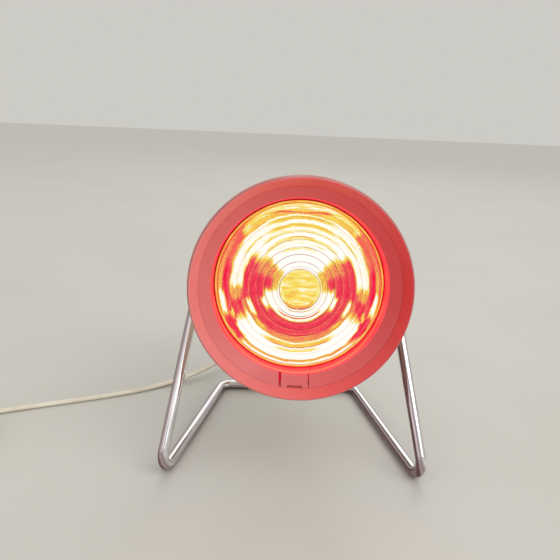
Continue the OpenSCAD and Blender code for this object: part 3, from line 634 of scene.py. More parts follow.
@dataclass(frozen=True)
class PlasticWithPaintedLight:
    """Cream satin plastic, with the lamp's own red light painted on towards its mouth as painted
    glow and painted shade.
    """

    region: Region
    cream: Colour = srgb(226, 214, 196)
    # Painted light on the outside: the next colour is a faint painted glow towards the mouth, the
    # one after a darker painted red glow and shade near the rim.
    warm: Colour = srgb(216, 178, 162)
    shade: Colour = srgb(178, 90, 84)
    # The lamp's light painted on the rim's crest and the ring's face: paler at the lower left,
    # deeper red at the upper right.
    rim: PaintedLampLight = PaintedLampLight(srgb(222, 126, 123), srgb(220, 88, 90), srgb(208, 54, 59))
    face: PaintedLampLight = PaintedLampLight(srgb(208, 110, 108), srgb(212, 92, 92), srgb(206, 70, 72))
    # Painted glow inside the head and in the ring's sleeve, and the painted reflection of the
    # lens's edge in the sleeve.
    hot: Colour = srgb(250, 25, 60)
    painted_reflection: Colour = srgb(255, 190, 60)
    stain: Colour = srgb(140, 80, 72)
    light_turn: float = math.radians(20)
    side_centre: tuple[float, float] = (-350.15, 110.92)
    side_arc: float = 430.0
    crest_radius: float = 75.2
    boss_radius: float = 11.0
    well_radius: float = 62.8
    lens_w: float = 47.3
    spark_rise: float = 10.3
    warm_w: Span = (0.0, 60.0)
    shade_w: Span = (46.0, 78.0)
    crest_w: Span = (62.0, 68.0)
    inner_depth: Span = (1.0, 1.6)
    inner_w: Span = (60.0, 64.0)
    glow_w: Span = (-50.0, 45.0)
    glow: Span = (0.05, 0.36)
    mouth_w: Span = (46.0, 52.0)
    spark_width: Span = (0.2, 0.7)
    spark_from: Span = (0.05, 0.25)
    well_glow: float = 0.78
    gloss: Span = (0.36, 0.48)

    def shell(self, sheet: Shader, radius: Any, w: Any, aside: Any, lift: Any,
              off_pivot: Any) -> bpy.types.NodeSocket:
        """Colours the housing: cream outside, with painted glow and shade towards the mouth, the
        lamp's red light painted round the mouth and a painted red glow inside.

        Args:
            sheet: The shader to add nodes to.
            radius: The place's radius in millimetres.
            w: Its distance ahead of the tilt axis in millimetres.
            aside: From -1 at the lower left to 1 at the upper right.
            lift: How strongly the plastic is painted to glow by itself.
            off_pivot: The place's distance from the tilt axis in millimetres.

        Returns:
            The colour.
        """
        lit = self.rim.colour(sheet, aside)
        # Painted glow and shade: cream at the back, a faint painted glow further on, and a darker
        # painted red glow and shade near the rim.
        wash = sheet.mix(sheet.between(w, *self.warm_w), self.cream, self.warm)
        wash = sheet.mix(sheet.between(w, *self.shade_w), wash, self.shade)
        # Painted light on the crest inside the rim, which also emits a painted glow.
        front = sheet.math("MULTIPLY", sheet.between(w, *self.crest_w),
                           sheet.between(radius, self.crest_radius, self.crest_radius + 0.5,
                                         1.0, 0.0))
        rise = sheet.math("SUBTRACT", w, self.side_centre[1])
        outer = sheet.math("SQRT", sheet.math("SUBTRACT", self.side_arc ** 2,
                                              sheet.math("MULTIPLY", rise, rise)))
        under = sheet.math("SUBTRACT", sheet.math("ADD", outer, self.side_centre[0]), radius)
        # Painted glow: the inner faces are painted deep red and made to emit red light.
        inside = sheet.math("MULTIPLY", sheet.between(under, *self.inner_depth), sheet.math(
            "MULTIPLY", sheet.between(w, *self.inner_w, 1.0, 0.0),
            sheet.between(off_pivot, self.boss_radius, self.boss_radius + 1.0)))
        glow = sheet.math("MULTIPLY", inside, sheet.between(w, *self.glow_w, *self.glow))
        deep_in = sheet.mix(sheet.between(w, *self.mouth_w), self.hot, self.face.middle)
        sheet.set(Emission_Color=sheet.mix(inside, lit, deep_in),
                  Emission_Strength=sheet.math("MULTIPLY_ADD", front, lift, glow))
        return sheet.mix(inside, sheet.mix(front, wash, lit), self.face.deep)

    def ring(self, sheet: Shader, radius: Any, w: Any, aside: Any, lift: Any,
             low: Any) -> bpy.types.NodeSocket:
        """Colours the ring: its bright sleeve with the lens's edge mirrored in it, and its face.

        Args:
            sheet: The shader to add nodes to.
            radius: The place's radius in millimetres.
            w: Its distance ahead of the tilt axis in millimetres.
            aside: From -1 at the lower left to 1 at the upper right.
            lift: How strongly the plastic is painted to glow by itself.
            low: From 0 at the sides to 1 at the bottom.

        Returns:
            The colour.
        """
        lit = self.face.colour(sheet, aside)
        # Painted glow and reflection: the sleeve is painted deep red and emits, with a painted
        # reflection of the lens's lower edge along it.
        well = sheet.between(radius, self.well_radius - 0.5, self.well_radius, 1.0, 0.0)
        line = sheet.math("MULTIPLY_ADD", low, self.spark_rise, self.lens_w)
        near = sheet.math("ABSOLUTE", sheet.math("SUBTRACT", w, line))
        shine = sheet.math("MULTIPLY", sheet.between(near, *self.spark_width, 1.0, 0.0),
                           sheet.between(low, *self.spark_from))
        bright = sheet.mix(well, lit, sheet.mix(shine, self.hot, self.painted_reflection))
        strength = sheet.math("MULTIPLY_ADD", well,
                              sheet.math("SUBTRACT", self.well_glow, lift), lift)
        sheet.set(Emission_Color=bright, Emission_Strength=strength)
        return sheet.mix(well, lit, self.face.deep)

    def material(self) -> bpy.types.Material:
        """Builds the material.

        Returns:
            The material for the region.
        """
        sheet = Shader(f"plastic_{self.region.value}")
        x, y, w = (sheet.math("MULTIPLY", part, 1000.0) for part in sheet.parts(sheet.on_head()))
        radius = sheet.vector("LENGTH", sheet.joined(x, y, 0.0))
        reach = sheet.math("MAXIMUM", radius, 1.0)
        right, high = sheet.math("DIVIDE", x, reach), sheet.math("DIVIDE", y, reach)
        # Painted light: this runs from the lower left, painted paler, to the upper right, painted
        # deeper red.
        aside = sheet.math("MULTIPLY_ADD", right, math.cos(self.light_turn),
                           sheet.math("MULTIPLY", high, math.sin(self.light_turn)))
        low = sheet.math("MAXIMUM", sheet.math("MULTIPLY", high, -1.0), 0.0)
        # Painted glow: the plastic is made to emit a little, more towards the top and the left.
        lift = sheet.math("MULTIPLY_ADD", high, 0.10, sheet.math("MULTIPLY_ADD", right, -0.04,
                                                                 0.09))
        lift = sheet.math("MAXIMUM", lift, 0.0)
        if self.region is Region.SHELL:
            off_pivot = sheet.vector("LENGTH", sheet.joined(0.0, y, w))
            colour = self.shell(sheet, radius, w, aside, lift, off_pivot)
        elif self.region is Region.RING:
            colour = self.ring(sheet, radius, w, aside, lift, low)
        else:
            colour = self.cream
        mottle = sheet.noise(45, 4, 0.6)
        colour = sheet.mix(sheet.between(mottle, 0.35, 0.75, 0.0, 0.07), colour, self.stain,
                           "MULTIPLY")
        grain = sheet.noise(2600, 3, 0.6)
        sheet.set(Base_Color=colour, IOR=1.49,
                  Roughness=sheet.between(mottle, 0.3, 0.7, *self.gloss),
                  Normal=sheet.bump(grain, 0.00006, 0.35,
                                    sheet.bump(sheet.noise(60, 1), 0.0004, 0.25)))
        return sheet.material


@dataclass(frozen=True)
class Chrome:
    """Bright chrome on a drawn tube, with painted reflections: darker underneath, reddened and
    highlighted by the way each face points, with the haze that polishing leaves.
    """

    # Faces turned towards this direction get the painted highlight, faces turned away the painted
    # dark reflections.
    upward: Point = (0.58, -0.24, 0.78)
    haze: Colour = srgb(172, 158, 164)
    painted_reflection_bands: tuple[tuple[float, Colour], ...] = (
        (0.0, srgb(118, 96, 100)), (0.24, srgb(176, 154, 158)), (0.38, srgb(98, 62, 66)),
        (0.47, srgb(150, 118, 122)), (0.56, srgb(196, 184, 188)), (0.72, srgb(168, 152, 158)),
        (0.86, srgb(250, 250, 252)), (1.0, srgb(206, 198, 204)))

    def material(self) -> bpy.types.Material:
        """Builds the material.

        Returns:
            The chrome.
        """
        sheet = Shader("chrome_tube")
        normal = sheet.node("ShaderNodeNewGeometry").outputs["Normal"]
        facing = sheet.vector("DOT_PRODUCT", normal, self.upward)
        ripple = sheet.math("MULTIPLY", sheet.math("SUBTRACT", sheet.noise(30, 2), 0.5), 0.12)
        # Painted reflections and highlight: the colour is read from the way each face points.
        tone = sheet.ramp(sheet.math("ADD", sheet.between(facing, -1.0, 1.0, smooth=False),
                                     ripple), self.painted_reflection_bands)
        cloud = sheet.noise(38, 4, 0.6)
        speck = sheet.between(sheet.noise(900, 2), 0.66, 0.8)
        colour = sheet.mix(sheet.between(cloud, 0.45, 0.8, 0.0, 0.3), tone, self.haze)
        sheet.set(Base_Color=colour, Metallic=1.0,
                  Roughness=sheet.math("ADD", sheet.between(cloud, 0.3, 0.8, 0.03, 0.09),
                                       sheet.math("MULTIPLY", speck, 0.08)),
                  Normal=sheet.bump(sheet.noise(220, 1), 0.00001, 0.4))
        return sheet.material


@dataclass(frozen=True)
class Glow:
    """One patch of the lit lens, the same on its left and its right.

    Radii are in millimetres and turns in degrees from the top of the lens. The patch is painted
    over those before it.
    """

    radius: float
    reach: float
    turn: float
    spread: float
    heat: float
    lean: float = 0.0


@dataclass(frozen=True)
class LitRubyGlass:
    """Red stained glass with moulded rings, lit from behind by a filament and its mirror."""

    edge_radius: float = 60.6
    first_ring: float = 14.8
    ring_step: float = 5.05
    ring_drop: float = 1.65
    disc_radius: float = 13.4
    disc_line: float = 16.2
    disc_heat: Span = (0.52, 0.93)
    swirl: Point = (70.0, 330.0, 1.0)
    streak: float = 2.6
    bent_radius: float = 2.4
    bent_turn: float = 8.0
    streaked_turn: float = 15.0
    fine_depth: float = 0.72
    coarse_depth: float = 0.30
    stipple_depth: float = 0.42
    wave_depth: float = 0.05
    dark_glass: Colour = srgb(70, 5, 8)
    line: Colour = srgb(150, 106, 96)
    groove: Colour = srgb(214, 40, 44)
    bead: tuple[Colour, Colour] = (srgb(240, 140, 50), srgb(252, 222, 96))
    tones: tuple[tuple[float, Colour], ...] = (
        (0.00, srgb(236, 20, 66)), (0.14, srgb(239, 54, 84)), (0.30, srgb(240, 100, 88)),
        (0.44, srgb(240, 150, 90)), (0.58, srgb(242, 194, 76)), (0.72, srgb(246, 224, 88)),
        (0.84, srgb(250, 242, 168)), (0.96, srgb(254, 253, 246)))
    patches: tuple[Glow, ...] = (
        # the cooler glass behind everything, its reddest places and the ring round the disc
        Glow(24, 10, 64, 15, 0.42), Glow(29.5, 10.5, 91, 17, 0.12), Glow(37, 3.5, 73, 14, 0.17),
        Glow(16.4, 3.4, 88, 40, 0.60), Glow(13.2, 2.0, 90, 100, 0.84),
        # the filament's white image above the middle, and the white band over it
        Glow(22.5, 10.5, 0, 50, 1.12), Glow(42, 9.5, 0, 57, 1.08), Glow(45.3, 4.6, 0, 96, 0.98),
        Glow(27.4, 1.1, 0, 28, 0.88), Glow(30.6, 0.9, 0, 34, 0.88), Glow(34.6, 1.3, 0, 48, 0.78),
        Glow(35.3, 0.4, 0, 14, 0.44), Glow(39.6, 1.2, 0, 42, 0.80), Glow(43.6, 1.3, 0, 29, 0.67),
        Glow(44.6, 0.8, 50, 13, 0.74), Glow(49.0, 1.2, 0, 26, 0.63),
        # the warm rim, with its yellow arcs at the top
        Glow(56, 4.6, 0, 105, 0.34), Glow(56.0, 4.3, 0, 44, 0.66), Glow(56.6, 3.5, 0, 36, 0.75),
        Glow(51.9, 0.6, 0, 24, 0.36, 0.16), Glow(54.4, 0.6, 0, 28, 0.82, 0.14),
        Glow(55.7, 0.4, 0, 24, 0.56, 0.12), Glow(57.6, 0.8, 0, 30, 0.86, 0.03),
        Glow(59.6, 0.5, 0, 24, 0.46),
        Glow(54.6, 2.4, 44, 3, 0.80), Glow(52.6, 2.2, 90, 15, 0.06), Glow(56.8, 1.8, 86, 12, 0.46),
        # the wide white fan below, its yellow steps and its red ends
        Glow(50.4, 9.6, 180, 60, 1.10), Glow(20.2, 5.2, 180, 84, 1.04),
        Glow(27.2, 1.9, 118, 12, 1.00), Glow(31.4, 6.2, 180, 53, 0.15),
        Glow(32.5, 3.4, 122, 16, 0.17), Glow(36.6, 2.8, 174, 26, 0.34),
        Glow(39.4, 1.1, 180, 52, 0.48), Glow(37.8, 1.5, 115, 9, 0.98),
        Glow(38.8, 1.2, 136, 7, 0.66), Glow(35.6, 0.5, 180, 46, 0.14),
        Glow(43.4, 1.5, 180, 33, 0.62), Glow(45.2, 0.45, 180, 30, 0.42),
        Glow(47.8, 1.2, 180, 21, 0.74), Glow(56.0, 1.0, 180, 48, 0.46),
        Glow(48.2, 4.6, 110, 15, 0.18, 0.68), Glow(45.5, 3.0, 97, 6, 0.50),
        Glow(56.0, 2.2, 124, 11, 0.08), Glow(52.2, 1.8, 115, 3, 0.68),
        Glow(56.3, 1.9, 103, 8, 1.08), Glow(14.2, 1.0, 180, 46, 0.54),
        Glow(15.6, 0.4, 180, 30, 0.25), Glow(17.6, 0.3, 180, 30, 0.60),
        Glow(22.2, 0.5, 180, 42, 0.22), Glow(59.2, 0.8, 180, 76, 0.92),
    )

    def painted(self, sheet: Shader, radius: Any, turn: Any) -> Any:
        """Paints how hot each place of the lens looks.

        Args:
            sheet: The shader to add nodes to.
            radius: The place's radius in millimetres.
            turn: Its turn from the top of the lens, in degrees.

        Returns:
            The heat, near 0 where it is crimson and past 1 where it is white.
        """
        heat: Any = 0.34
        for patch in self.patches:
            off = sheet.math("ABSOLUTE", sheet.math("SUBTRACT", turn, patch.turn))
            blur = min(patch.spread * 0.45, 9.0)
            around = sheet.between(off, patch.spread - blur, patch.spread + blur, 1.0, 0.0)
            middle = (sheet.math("MULTIPLY_ADD", turn, patch.lean,
                                 patch.radius - patch.lean * patch.turn)
                      if patch.lean else patch.radius)
            away = sheet.math("ABSOLUTE", sheet.math("SUBTRACT", radius, middle))
            blur = min(patch.reach * 0.6, 1.4)
            across = sheet.between(away, patch.reach - blur, patch.reach + blur, 1.0, 0.0)
            heat = sheet.math("MULTIPLY_ADD", sheet.math("MULTIPLY", around, across),
                              sheet.math("SUBTRACT", patch.heat, heat), heat)
        return heat

    def grained(self, sheet: Shader, radius: Any, turn: Any, fine: Any,
                coarse: Any) -> bpy.types.NodeSocket:
        """Paints the heat with uneven edges and lays the glass's grain over it.

        Args:
            sheet: The shader to add nodes to.
            radius: The place's radius in millimetres.
            turn: Its turn from the top of the lens, in degrees.
            fine: Fine streaks along the rings.
            coarse: Coarse streaks along the rings.

        Returns:
            The heat.
        """
        stipple = sheet.noise(1150, 1, 0.5)
        bend = sheet.math("SUBTRACT", sheet.noise(110, 2, 0.5), 0.5)
        heat: Any = self.painted(
            sheet, sheet.math("MULTIPLY_ADD", bend, self.bent_radius, radius),
            sheet.math("MULTIPLY_ADD", sheet.math("SUBTRACT", coarse, 0.5), self.streaked_turn,
                       sheet.math("MULTIPLY_ADD", bend, self.bent_turn, turn)))
        for grain, depth in ((fine, self.fine_depth), (coarse, self.coarse_depth),
                             (stipple, self.stipple_depth)):
            heat = sheet.math("MULTIPLY_ADD", sheet.math("SUBTRACT", grain, 0.5), depth, heat)
        return heat

    def with_disc(self, sheet: Shader, point: Any, radius: Any,
                  heat: Any) -> bpy.types.NodeSocket:
        """Lays the swirled disc over the middle of the lens.

        Args:
            sheet: The shader to add nodes to.
            point: The place on the head's axes, in metres.
            radius: Its radius in millimetres.
            heat: The heat round the disc.

        Returns:
            The heat with the disc in it.
        """
        inner = sheet.between(radius, self.disc_radius - 1.4, self.disc_radius, 1.0, 0.0)
        swirl = sheet.noise(1.0, 3, 0.6, sheet.vector("MULTIPLY", point, self.swirl))
        disc = sheet.between(swirl, 0.30, 0.66, *self.disc_heat, smooth=False)
        return sheet.math("MULTIPLY_ADD", inner, sheet.math("SUBTRACT", disc, heat), heat)

    def lowered(self, sheet: Shader, x: Any, y: Any, radius: Any) -> bpy.types.NodeSocket:
        """Finds the radius by which the rings are drawn, which hang low in the dome's middle.

        Args:
            sheet: The shader to add nodes to.
            x: The place's distance to the right, in metres.
            y: Its distance up, in metres.
            radius: Its radius in millimetres.

        Returns:
            The rings' own radius in millimetres.
        """
        share = sheet.math("DIVIDE", radius, self.edge_radius)
        drop = sheet.math("MULTIPLY_ADD", sheet.math("MULTIPLY", share, share),
                          -self.ring_drop, self.ring_drop)
        low_y = sheet.math("MULTIPLY_ADD", drop, MM, y)
        return sheet.math("MULTIPLY", sheet.vector("LENGTH", sheet.joined(x, low_y, 0.0)),
                          1000.0)

    def lined(self, sheet: Shader, colour: Any, ring: Any, outside: Any, ring_radius: Any,
              radius: Any, coarse: Any) -> bpy.types.NodeSocket:
        """Draws the thin line in each ring, fainter towards the edge.

        Args:
            sheet: The shader to add nodes to.
            colour: The colour under the lines.
            ring: The place's number of rings from the first.
            outside: 0 inside the first ring and 1 outside it.
            ring_radius: The rings' own radius in millimetres.
            radius: The place's radius in millimetres.
            coarse: Coarse streaks along the rings.

        Returns:
            The colour with its lines.
        """
        line = sheet.math("ABSOLUTE", sheet.math("SUBTRACT", sheet.math("FRACT", ring), 0.5))
        line = sheet.math("MULTIPLY", sheet.between(line, 0.42, 0.47), outside)
        rim_line = sheet.math("ABSOLUTE", sheet.math("SUBTRACT", ring_radius, self.disc_line))
        line = sheet.math("MAXIMUM", line, sheet.between(rim_line, 0.1, 0.4, 0.7, 0.0))
        line = sheet.math("MULTIPLY", line, sheet.between(coarse, 0.3, 0.6, 0.45, 1.0))
        line = sheet.math("MULTIPLY", line, sheet.between(radius, 26.0, 44.0, 0.8, 0.35))
        return sheet.mix(line, colour, self.line, "MULTIPLY")

    def edged(self, sheet: Shader, colour: Any, radius: Any, fine: Any) -> bpy.types.NodeSocket:
        """Adds the dark groove and the amber bead at the edge of the lens.

        Args:
            sheet: The shader to add nodes to.
            colour: The colour of the lens.
            radius: The place's radius in millimetres.
            fine: Fine streaks along the rings.

        Returns:
            The colour with its edge.
        """
        bead = sheet.between(radius, self.edge_radius - 1.5, self.edge_radius - 1.0)
        dark = sheet.math("MULTIPLY", sheet.between(radius, self.edge_radius - 2.3,
                                                    self.edge_radius - 1.7),
                          sheet.math("SUBTRACT", 1.0, bead))
        colour = sheet.mix(sheet.math("MULTIPLY", dark, 0.7), colour, self.groove)
        return sheet.mix(bead, colour, sheet.mix(sheet.between(fine, 0.35, 0.65), *self.bead))

    def material(self) -> bpy.types.Material:
        """Builds the material.

        Returns:
            The lit glass.
        """
        sheet = Shader("lit_ruby_glass")
        point = sheet.on_head()
        x, y, _ = sheet.parts(point)
        flat = sheet.joined(x, y, 0.0)
        radius = sheet.math("MULTIPLY", sheet.vector("LENGTH", flat), 1000.0)
        turn = sheet.math("DEGREES", sheet.math("ARCTAN2", sheet.math("ABSOLUTE", x), y))
        aim_x, aim_y, _ = sheet.parts(sheet.vector("NORMALIZE", flat))
        streak = sheet.joined(sheet.math("MULTIPLY", aim_x, self.streak),
                              sheet.math("MULTIPLY", aim_y, self.streak), radius)
        fine, coarse = sheet.noise(1.5, 3, 0.7, streak), sheet.noise(0.5, 2, 0.5, streak)
        heat = self.with_disc(sheet, point, radius,
                              self.grained(sheet, radius, turn, fine, coarse))
        ring_radius = self.lowered(sheet, x, y, radius)
        ring = sheet.math("DIVIDE", sheet.math("SUBTRACT", ring_radius, self.first_ring - 0.2),
                          self.ring_step)
        outside = sheet.between(ring_radius, self.first_ring - 2, self.first_ring - 1)
        wave = sheet.math("MULTIPLY", sheet.math("SINE", sheet.math("MULTIPLY", ring, math.tau)),
                          outside)
        heat = sheet.math("MULTIPLY_ADD", wave, self.wave_depth, heat)
        colour = self.lined(sheet, sheet.ramp(heat, self.tones), ring, outside, ring_radius,
                            radius, coarse)
        sheet.set(Base_Color=self.dark_glass, Roughness=0.16, IOR=1.5, Specular_IOR_Level=0.35,
                  Emission_Color=self.edged(sheet, colour, radius, fine),
                  Emission_Strength=sheet.between(heat, 0.8, 1.1, 0.95, 1.02),
                  Normal=sheet.bump(fine, 0.0002, 0.4))
        return sheet.material


@dataclass(frozen=True)
class LitSilver:
    """Silvered glass, which the lamp's light reddens towards its rim."""

    tone: Colour = srgb(226, 190, 178)
    dull: Colour = srgb(196, 150, 134)
    light: Colour = srgb(236, 44, 60)

    def material(self) -> bpy.types.Material:
        """Builds the material.

        Returns:
            The silvered glass.
        """
        sheet = Shader("silvered_glass")
        w = sheet.parts(sheet.on_head())[2]
        cloud = sheet.noise(60, 4, 0.6)
        sheet.set(Base_Color=sheet.mix(sheet.between(cloud, 0.4, 0.75, 0.0, 0.6), self.tone,
                                       self.dull), Metallic=0.9,
                  Roughness=sheet.between(cloud, 0.3, 0.7, 0.12, 0.24), Emission_Color=self.light,
                  Emission_Strength=sheet.between(w, 0.0, 46 * MM, 0.02, 0.6),
                  Normal=sheet.bump(sheet.noise(400, 2), 0.00004, 0.5))
        return sheet.material


@dataclass(frozen=True)
class WhiteHotWire:
    """Tungsten wire that is lit, a little cooler between its turns."""

    def material(self) -> bpy.types.Material:
        """Builds the material.

        Returns:
            The lit wire.
        """
        sheet = Shader("white_hot_wire")
        cloud = sheet.noise(800, 2)
        sheet.set(Base_Color=srgb(150, 150, 154), Metallic=1.0, Roughness=0.4,
                  Emission_Color=sheet.mix(cloud, srgb(255, 196, 110), srgb(255, 238, 190)),
                  Emission_Strength=1.0)
        return sheet.material


@dataclass(frozen=True)
class Plain:
    """A finish of one tone with its own mottling, grain and gloss."""

    name: str
    tone: Colour
    spot: Colour
    rough: float = 0.45
    metal: float = 0.0
    grain: float = 900.0
    depth: float = 0.00004
    mottle: float = 70.0
    index: float = 1.5

    def material(self) -> bpy.types.Material:
        """Builds the material.

        Returns:
            The finish.
        """
        sheet = Shader(self.name)
        cloud = sheet.noise(self.mottle, 4, 0.6)
        colour = sheet.mix(sheet.between(cloud, 0.38, 0.78, 0.0, 0.6), self.tone, self.spot)
        sheet.set(Base_Color=colour, Metallic=self.metal, IOR=self.index,
                  Roughness=sheet.between(cloud, 0.3, 0.7, self.rough * 0.85,
                                          min(self.rough * 1.25, 1.0)),
                  Normal=sheet.bump(sheet.noise(self.grain, 3), self.depth, 0.6))
        return sheet.material


@dataclass(frozen=True)
class Finishes:
    """Every finish of the lamp, built once."""

    shell: bpy.types.Material
    ring: bpy.types.Material
    cover: bpy.types.Material
    chrome: bpy.types.Material
    lens: bpy.types.Material
    mirror: bpy.types.Material
    filament: bpy.types.Material
    tungsten: bpy.types.Material
    brass: bpy.types.Material
    insulator: bpy.types.Material
    ceramic: bpy.types.Material
    zinc: bpy.types.Material
    nylon: bpy.types.Material
    cord: bpy.types.Material
    brown: bpy.types.Material
    blue: bpy.types.Material
    strap: bpy.types.Material

    @classmethod
    def build(cls) -> "Finishes":
        """Builds them all.

        Returns:
            The finishes.
        """
        def plain(name: str, tone: Colour, spot: Colour, **looks: float) -> bpy.types.Material:
            """A plain finish."""
            return Plain(name, tone, spot, **looks).material()
        return cls(
            shell=PlasticWithPaintedLight(Region.SHELL).material(),
            ring=PlasticWithPaintedLight(Region.RING).material(),
            cover=PlasticWithPaintedLight(Region.COVER).material(),
            chrome=Chrome().material(),
            lens=LitRubyGlass().material(),
            mirror=LitSilver().material(),
            filament=WhiteHotWire().material(),
            tungsten=plain("tungsten_wire", srgb(150, 150, 154), srgb(110, 108, 108),
                           rough=0.35, metal=1.0, grain=3000),
            brass=plain("nickelled_brass", srgb(206, 186, 134), srgb(168, 138, 84),
                        rough=0.3, metal=1.0, grain=1500),
            insulator=plain("black_vitrite", srgb(34, 33, 38), srgb(60, 58, 62), rough=0.25),
            ceramic=plain("glazed_ceramic", srgb(238, 236, 228), srgb(222, 216, 202),
                          rough=0.22, grain=500),
            zinc=plain("zinc_plate", srgb(190, 192, 196), srgb(160, 158, 140), rough=0.32,
                       metal=1.0, grain=1200),
            nylon=plain("dark_nylon", srgb(52, 50, 52), srgb(70, 66, 66), rough=0.5),
            cord=plain("cord_vinyl", srgb(228, 221, 202), srgb(206, 190, 166), rough=0.34,
                       grain=1400, mottle=50),
            brown=plain("brown_core", srgb(96, 58, 34), srgb(78, 46, 28), rough=0.4),
            blue=plain("blue_core", srgb(40, 84, 160), srgb(30, 66, 132), rough=0.4),
            strap=plain("woven_strap", srgb(48, 47, 50), srgb(84, 82, 84), rough=0.8,
                        grain=2400, depth=0.0002),
        )


# ---- camera, floor and light ----------------------------------------------------------------

@dataclass
class Camera:
    """The photograph's camera, as fitted to the lamp's circles and feet."""

    place: Point = (-0.0221, -0.43892, 0.2654)
    right: Point = (0.9991114, -0.00744631, 0.0414845)
    up: Point = (-0.03714442, 0.30956867, 0.95015132)
    ahead: Point = (0.01991742, 0.95084793, -0.30901699)
    lens: float = 36.0
    nearest: float = 0.01

    def build(self) -> None:
        """Makes the camera the scene's own."""
        data = bpy.data.cameras.new("camera")
        data.lens, data.sensor_width, data.clip_start = self.lens, 36.0, self.nearest
        camera = bpy.data.objects.new("camera", data)
        turn = Matrix((self.right, self.up, tuple(-value for value in self.ahead))).transposed()
        camera.matrix_world = Matrix.Translation(self.place) @ turn.to_4x4()
        bpy.context.scene.collection.objects.link(camera)
        bpy.context.scene.camera = camera


@dataclass(frozen=True)
class Lamp:
    """A soft square lamp: its place, its width in metres and its power in watts."""

    name: str
    place: Point
    size: float
    power: float
    aim: Point = (0.0, 0.0, 0.1)

    def hang(self) -> None:
        """Hangs the lamp."""
        data = bpy.data.lights.new(self.name, "AREA")
        data.size, data.energy = self.size, self.power
        lamp = bpy.data.objects.new(self.name, data)
        lamp.location = self.place
        toward = Vector(self.aim) - Vector(self.place)
        lamp.rotation_euler = toward.to_track_quat("-Z", "Y").to_euler()
        bpy.context.scene.collection.objects.link(lamp)


@dataclass
class Studio:
    """A plain pale floor under soft light."""

    floor_tone: Colour = srgb(198, 195, 187)
    floor_cloud: Colour = srgb(186, 182, 173)
    back_tone: Colour = srgb(205, 203, 197)
    ambient: Colour = (0.78, 0.78, 0.7683, 1.0)
    reach: float = 4.0
    floor_z: float = -0.0001
    sky_power: float = 0.42
    lamps: tuple[Lamp, ...] = (
        Lamp("window", (1.3, -0.9, 1.5), 1.2, 8), Lamp("fill", (-1.2, -1.1, 1.0), 1.4, 3.5),
        Lamp("back", (0.3, 1.4, 1.3), 1.2, 4))

    def floor(self) -> None:
        """Lays the floor."""
        mesh = bpy.data.meshes.new("floor")
        mesh.from_pydata([(self.reach * x, self.reach * y, self.floor_z)
                          for x, y in ((-1, -1), (1, -1), (1, 1), (-1, 1))], [], [(0, 1, 2, 3)])
        floor = bpy.data.objects.new("floor", mesh)
        bpy.context.scene.collection.objects.link(floor)
        sheet = Shader("pale_floor")
        cloud = sheet.noise(6, 4, 0.55)
        sheet.set(Base_Color=sheet.mix(sheet.between(cloud, 0.4, 0.7, 0.0, 0.25), self.floor_tone,
                                       self.floor_cloud), Roughness=0.42)
        mesh.materials.append(sheet.material)

    def world(self) -> None:
        """Sets the light all round, and the pale tone that the camera and glossy pieces see."""
        world = bpy.data.worlds.new("studio")
        bpy.context.scene.world = world
        world.use_nodes = True
        sheet = Sheet()
        sheet.tree = world.node_tree
        path = sheet.node("ShaderNodeLightPath").outputs
        seen = sheet.math("MAXIMUM", path["Is Camera Ray"], sheet.math(
            "MAXIMUM", path["Is Glossy Ray"], path["Is Transmission Ray"]))
        sheet.tree.links.new(sheet.mix(seen, self.ambient, self.back_tone),
                             sheet.tree.nodes["Background"].inputs["Color"])

    def sky(self) -> None:
        """Adds soft light that falls alike on the whole floor."""
        data = bpy.data.lights.new("sky", "SUN")
        data.energy, data.angle = self.sky_power, math.radians(60)
        sky = bpy.data.objects.new("sky", data)
        sky.rotation_euler = (math.radians(24), math.radians(22), 0)
        bpy.context.scene.collection.objects.link(sky)

    def build(self) -> None:
        """Builds the floor, the world and the lamps."""
        self.floor()
        self.world()
        self.sky()
        for lamp in self.lamps:
            lamp.hang()
        bpy.context.scene.view_settings.view_transform = "Standard"


# ---- pieces ---------------------------------------------------------------------------------

def settle(piece: bpy.types.Object, body: Body, finish: bpy.types.Material,
           nodes: Sequence[str] = ()) -> bpy.types.Object:
    """Dresses a piece, lets it ride on its body and hides the model's nodes that it stands for.

    Args:
        piece: The piece.
        body: The body that it rides on.
        finish: Its material.
        nodes: The model's nodes that it replaces.

    Returns:
        The same piece.
    """
    piece.data.materials.clear()
    piece.data.materials.append(finish)
    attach(piece, body.value)
    if nodes:
        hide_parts(*nodes)
    LOG.info("%s rides on %s, %d faces", piece.name, body.value, len(piece.data.polygons))
    return piece


def dress(names: Sequence[str], finish: bpy.types.Material) -> None:
    """Gives the model's own nodes a finish.

    Args:
        names: The nodes.
        finish: Their material.
    """
    for name in names:
        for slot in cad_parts[name].material_slots:
            slot.material = finish
        LOG.info("%s keeps its shape and takes %s", name, finish.name)


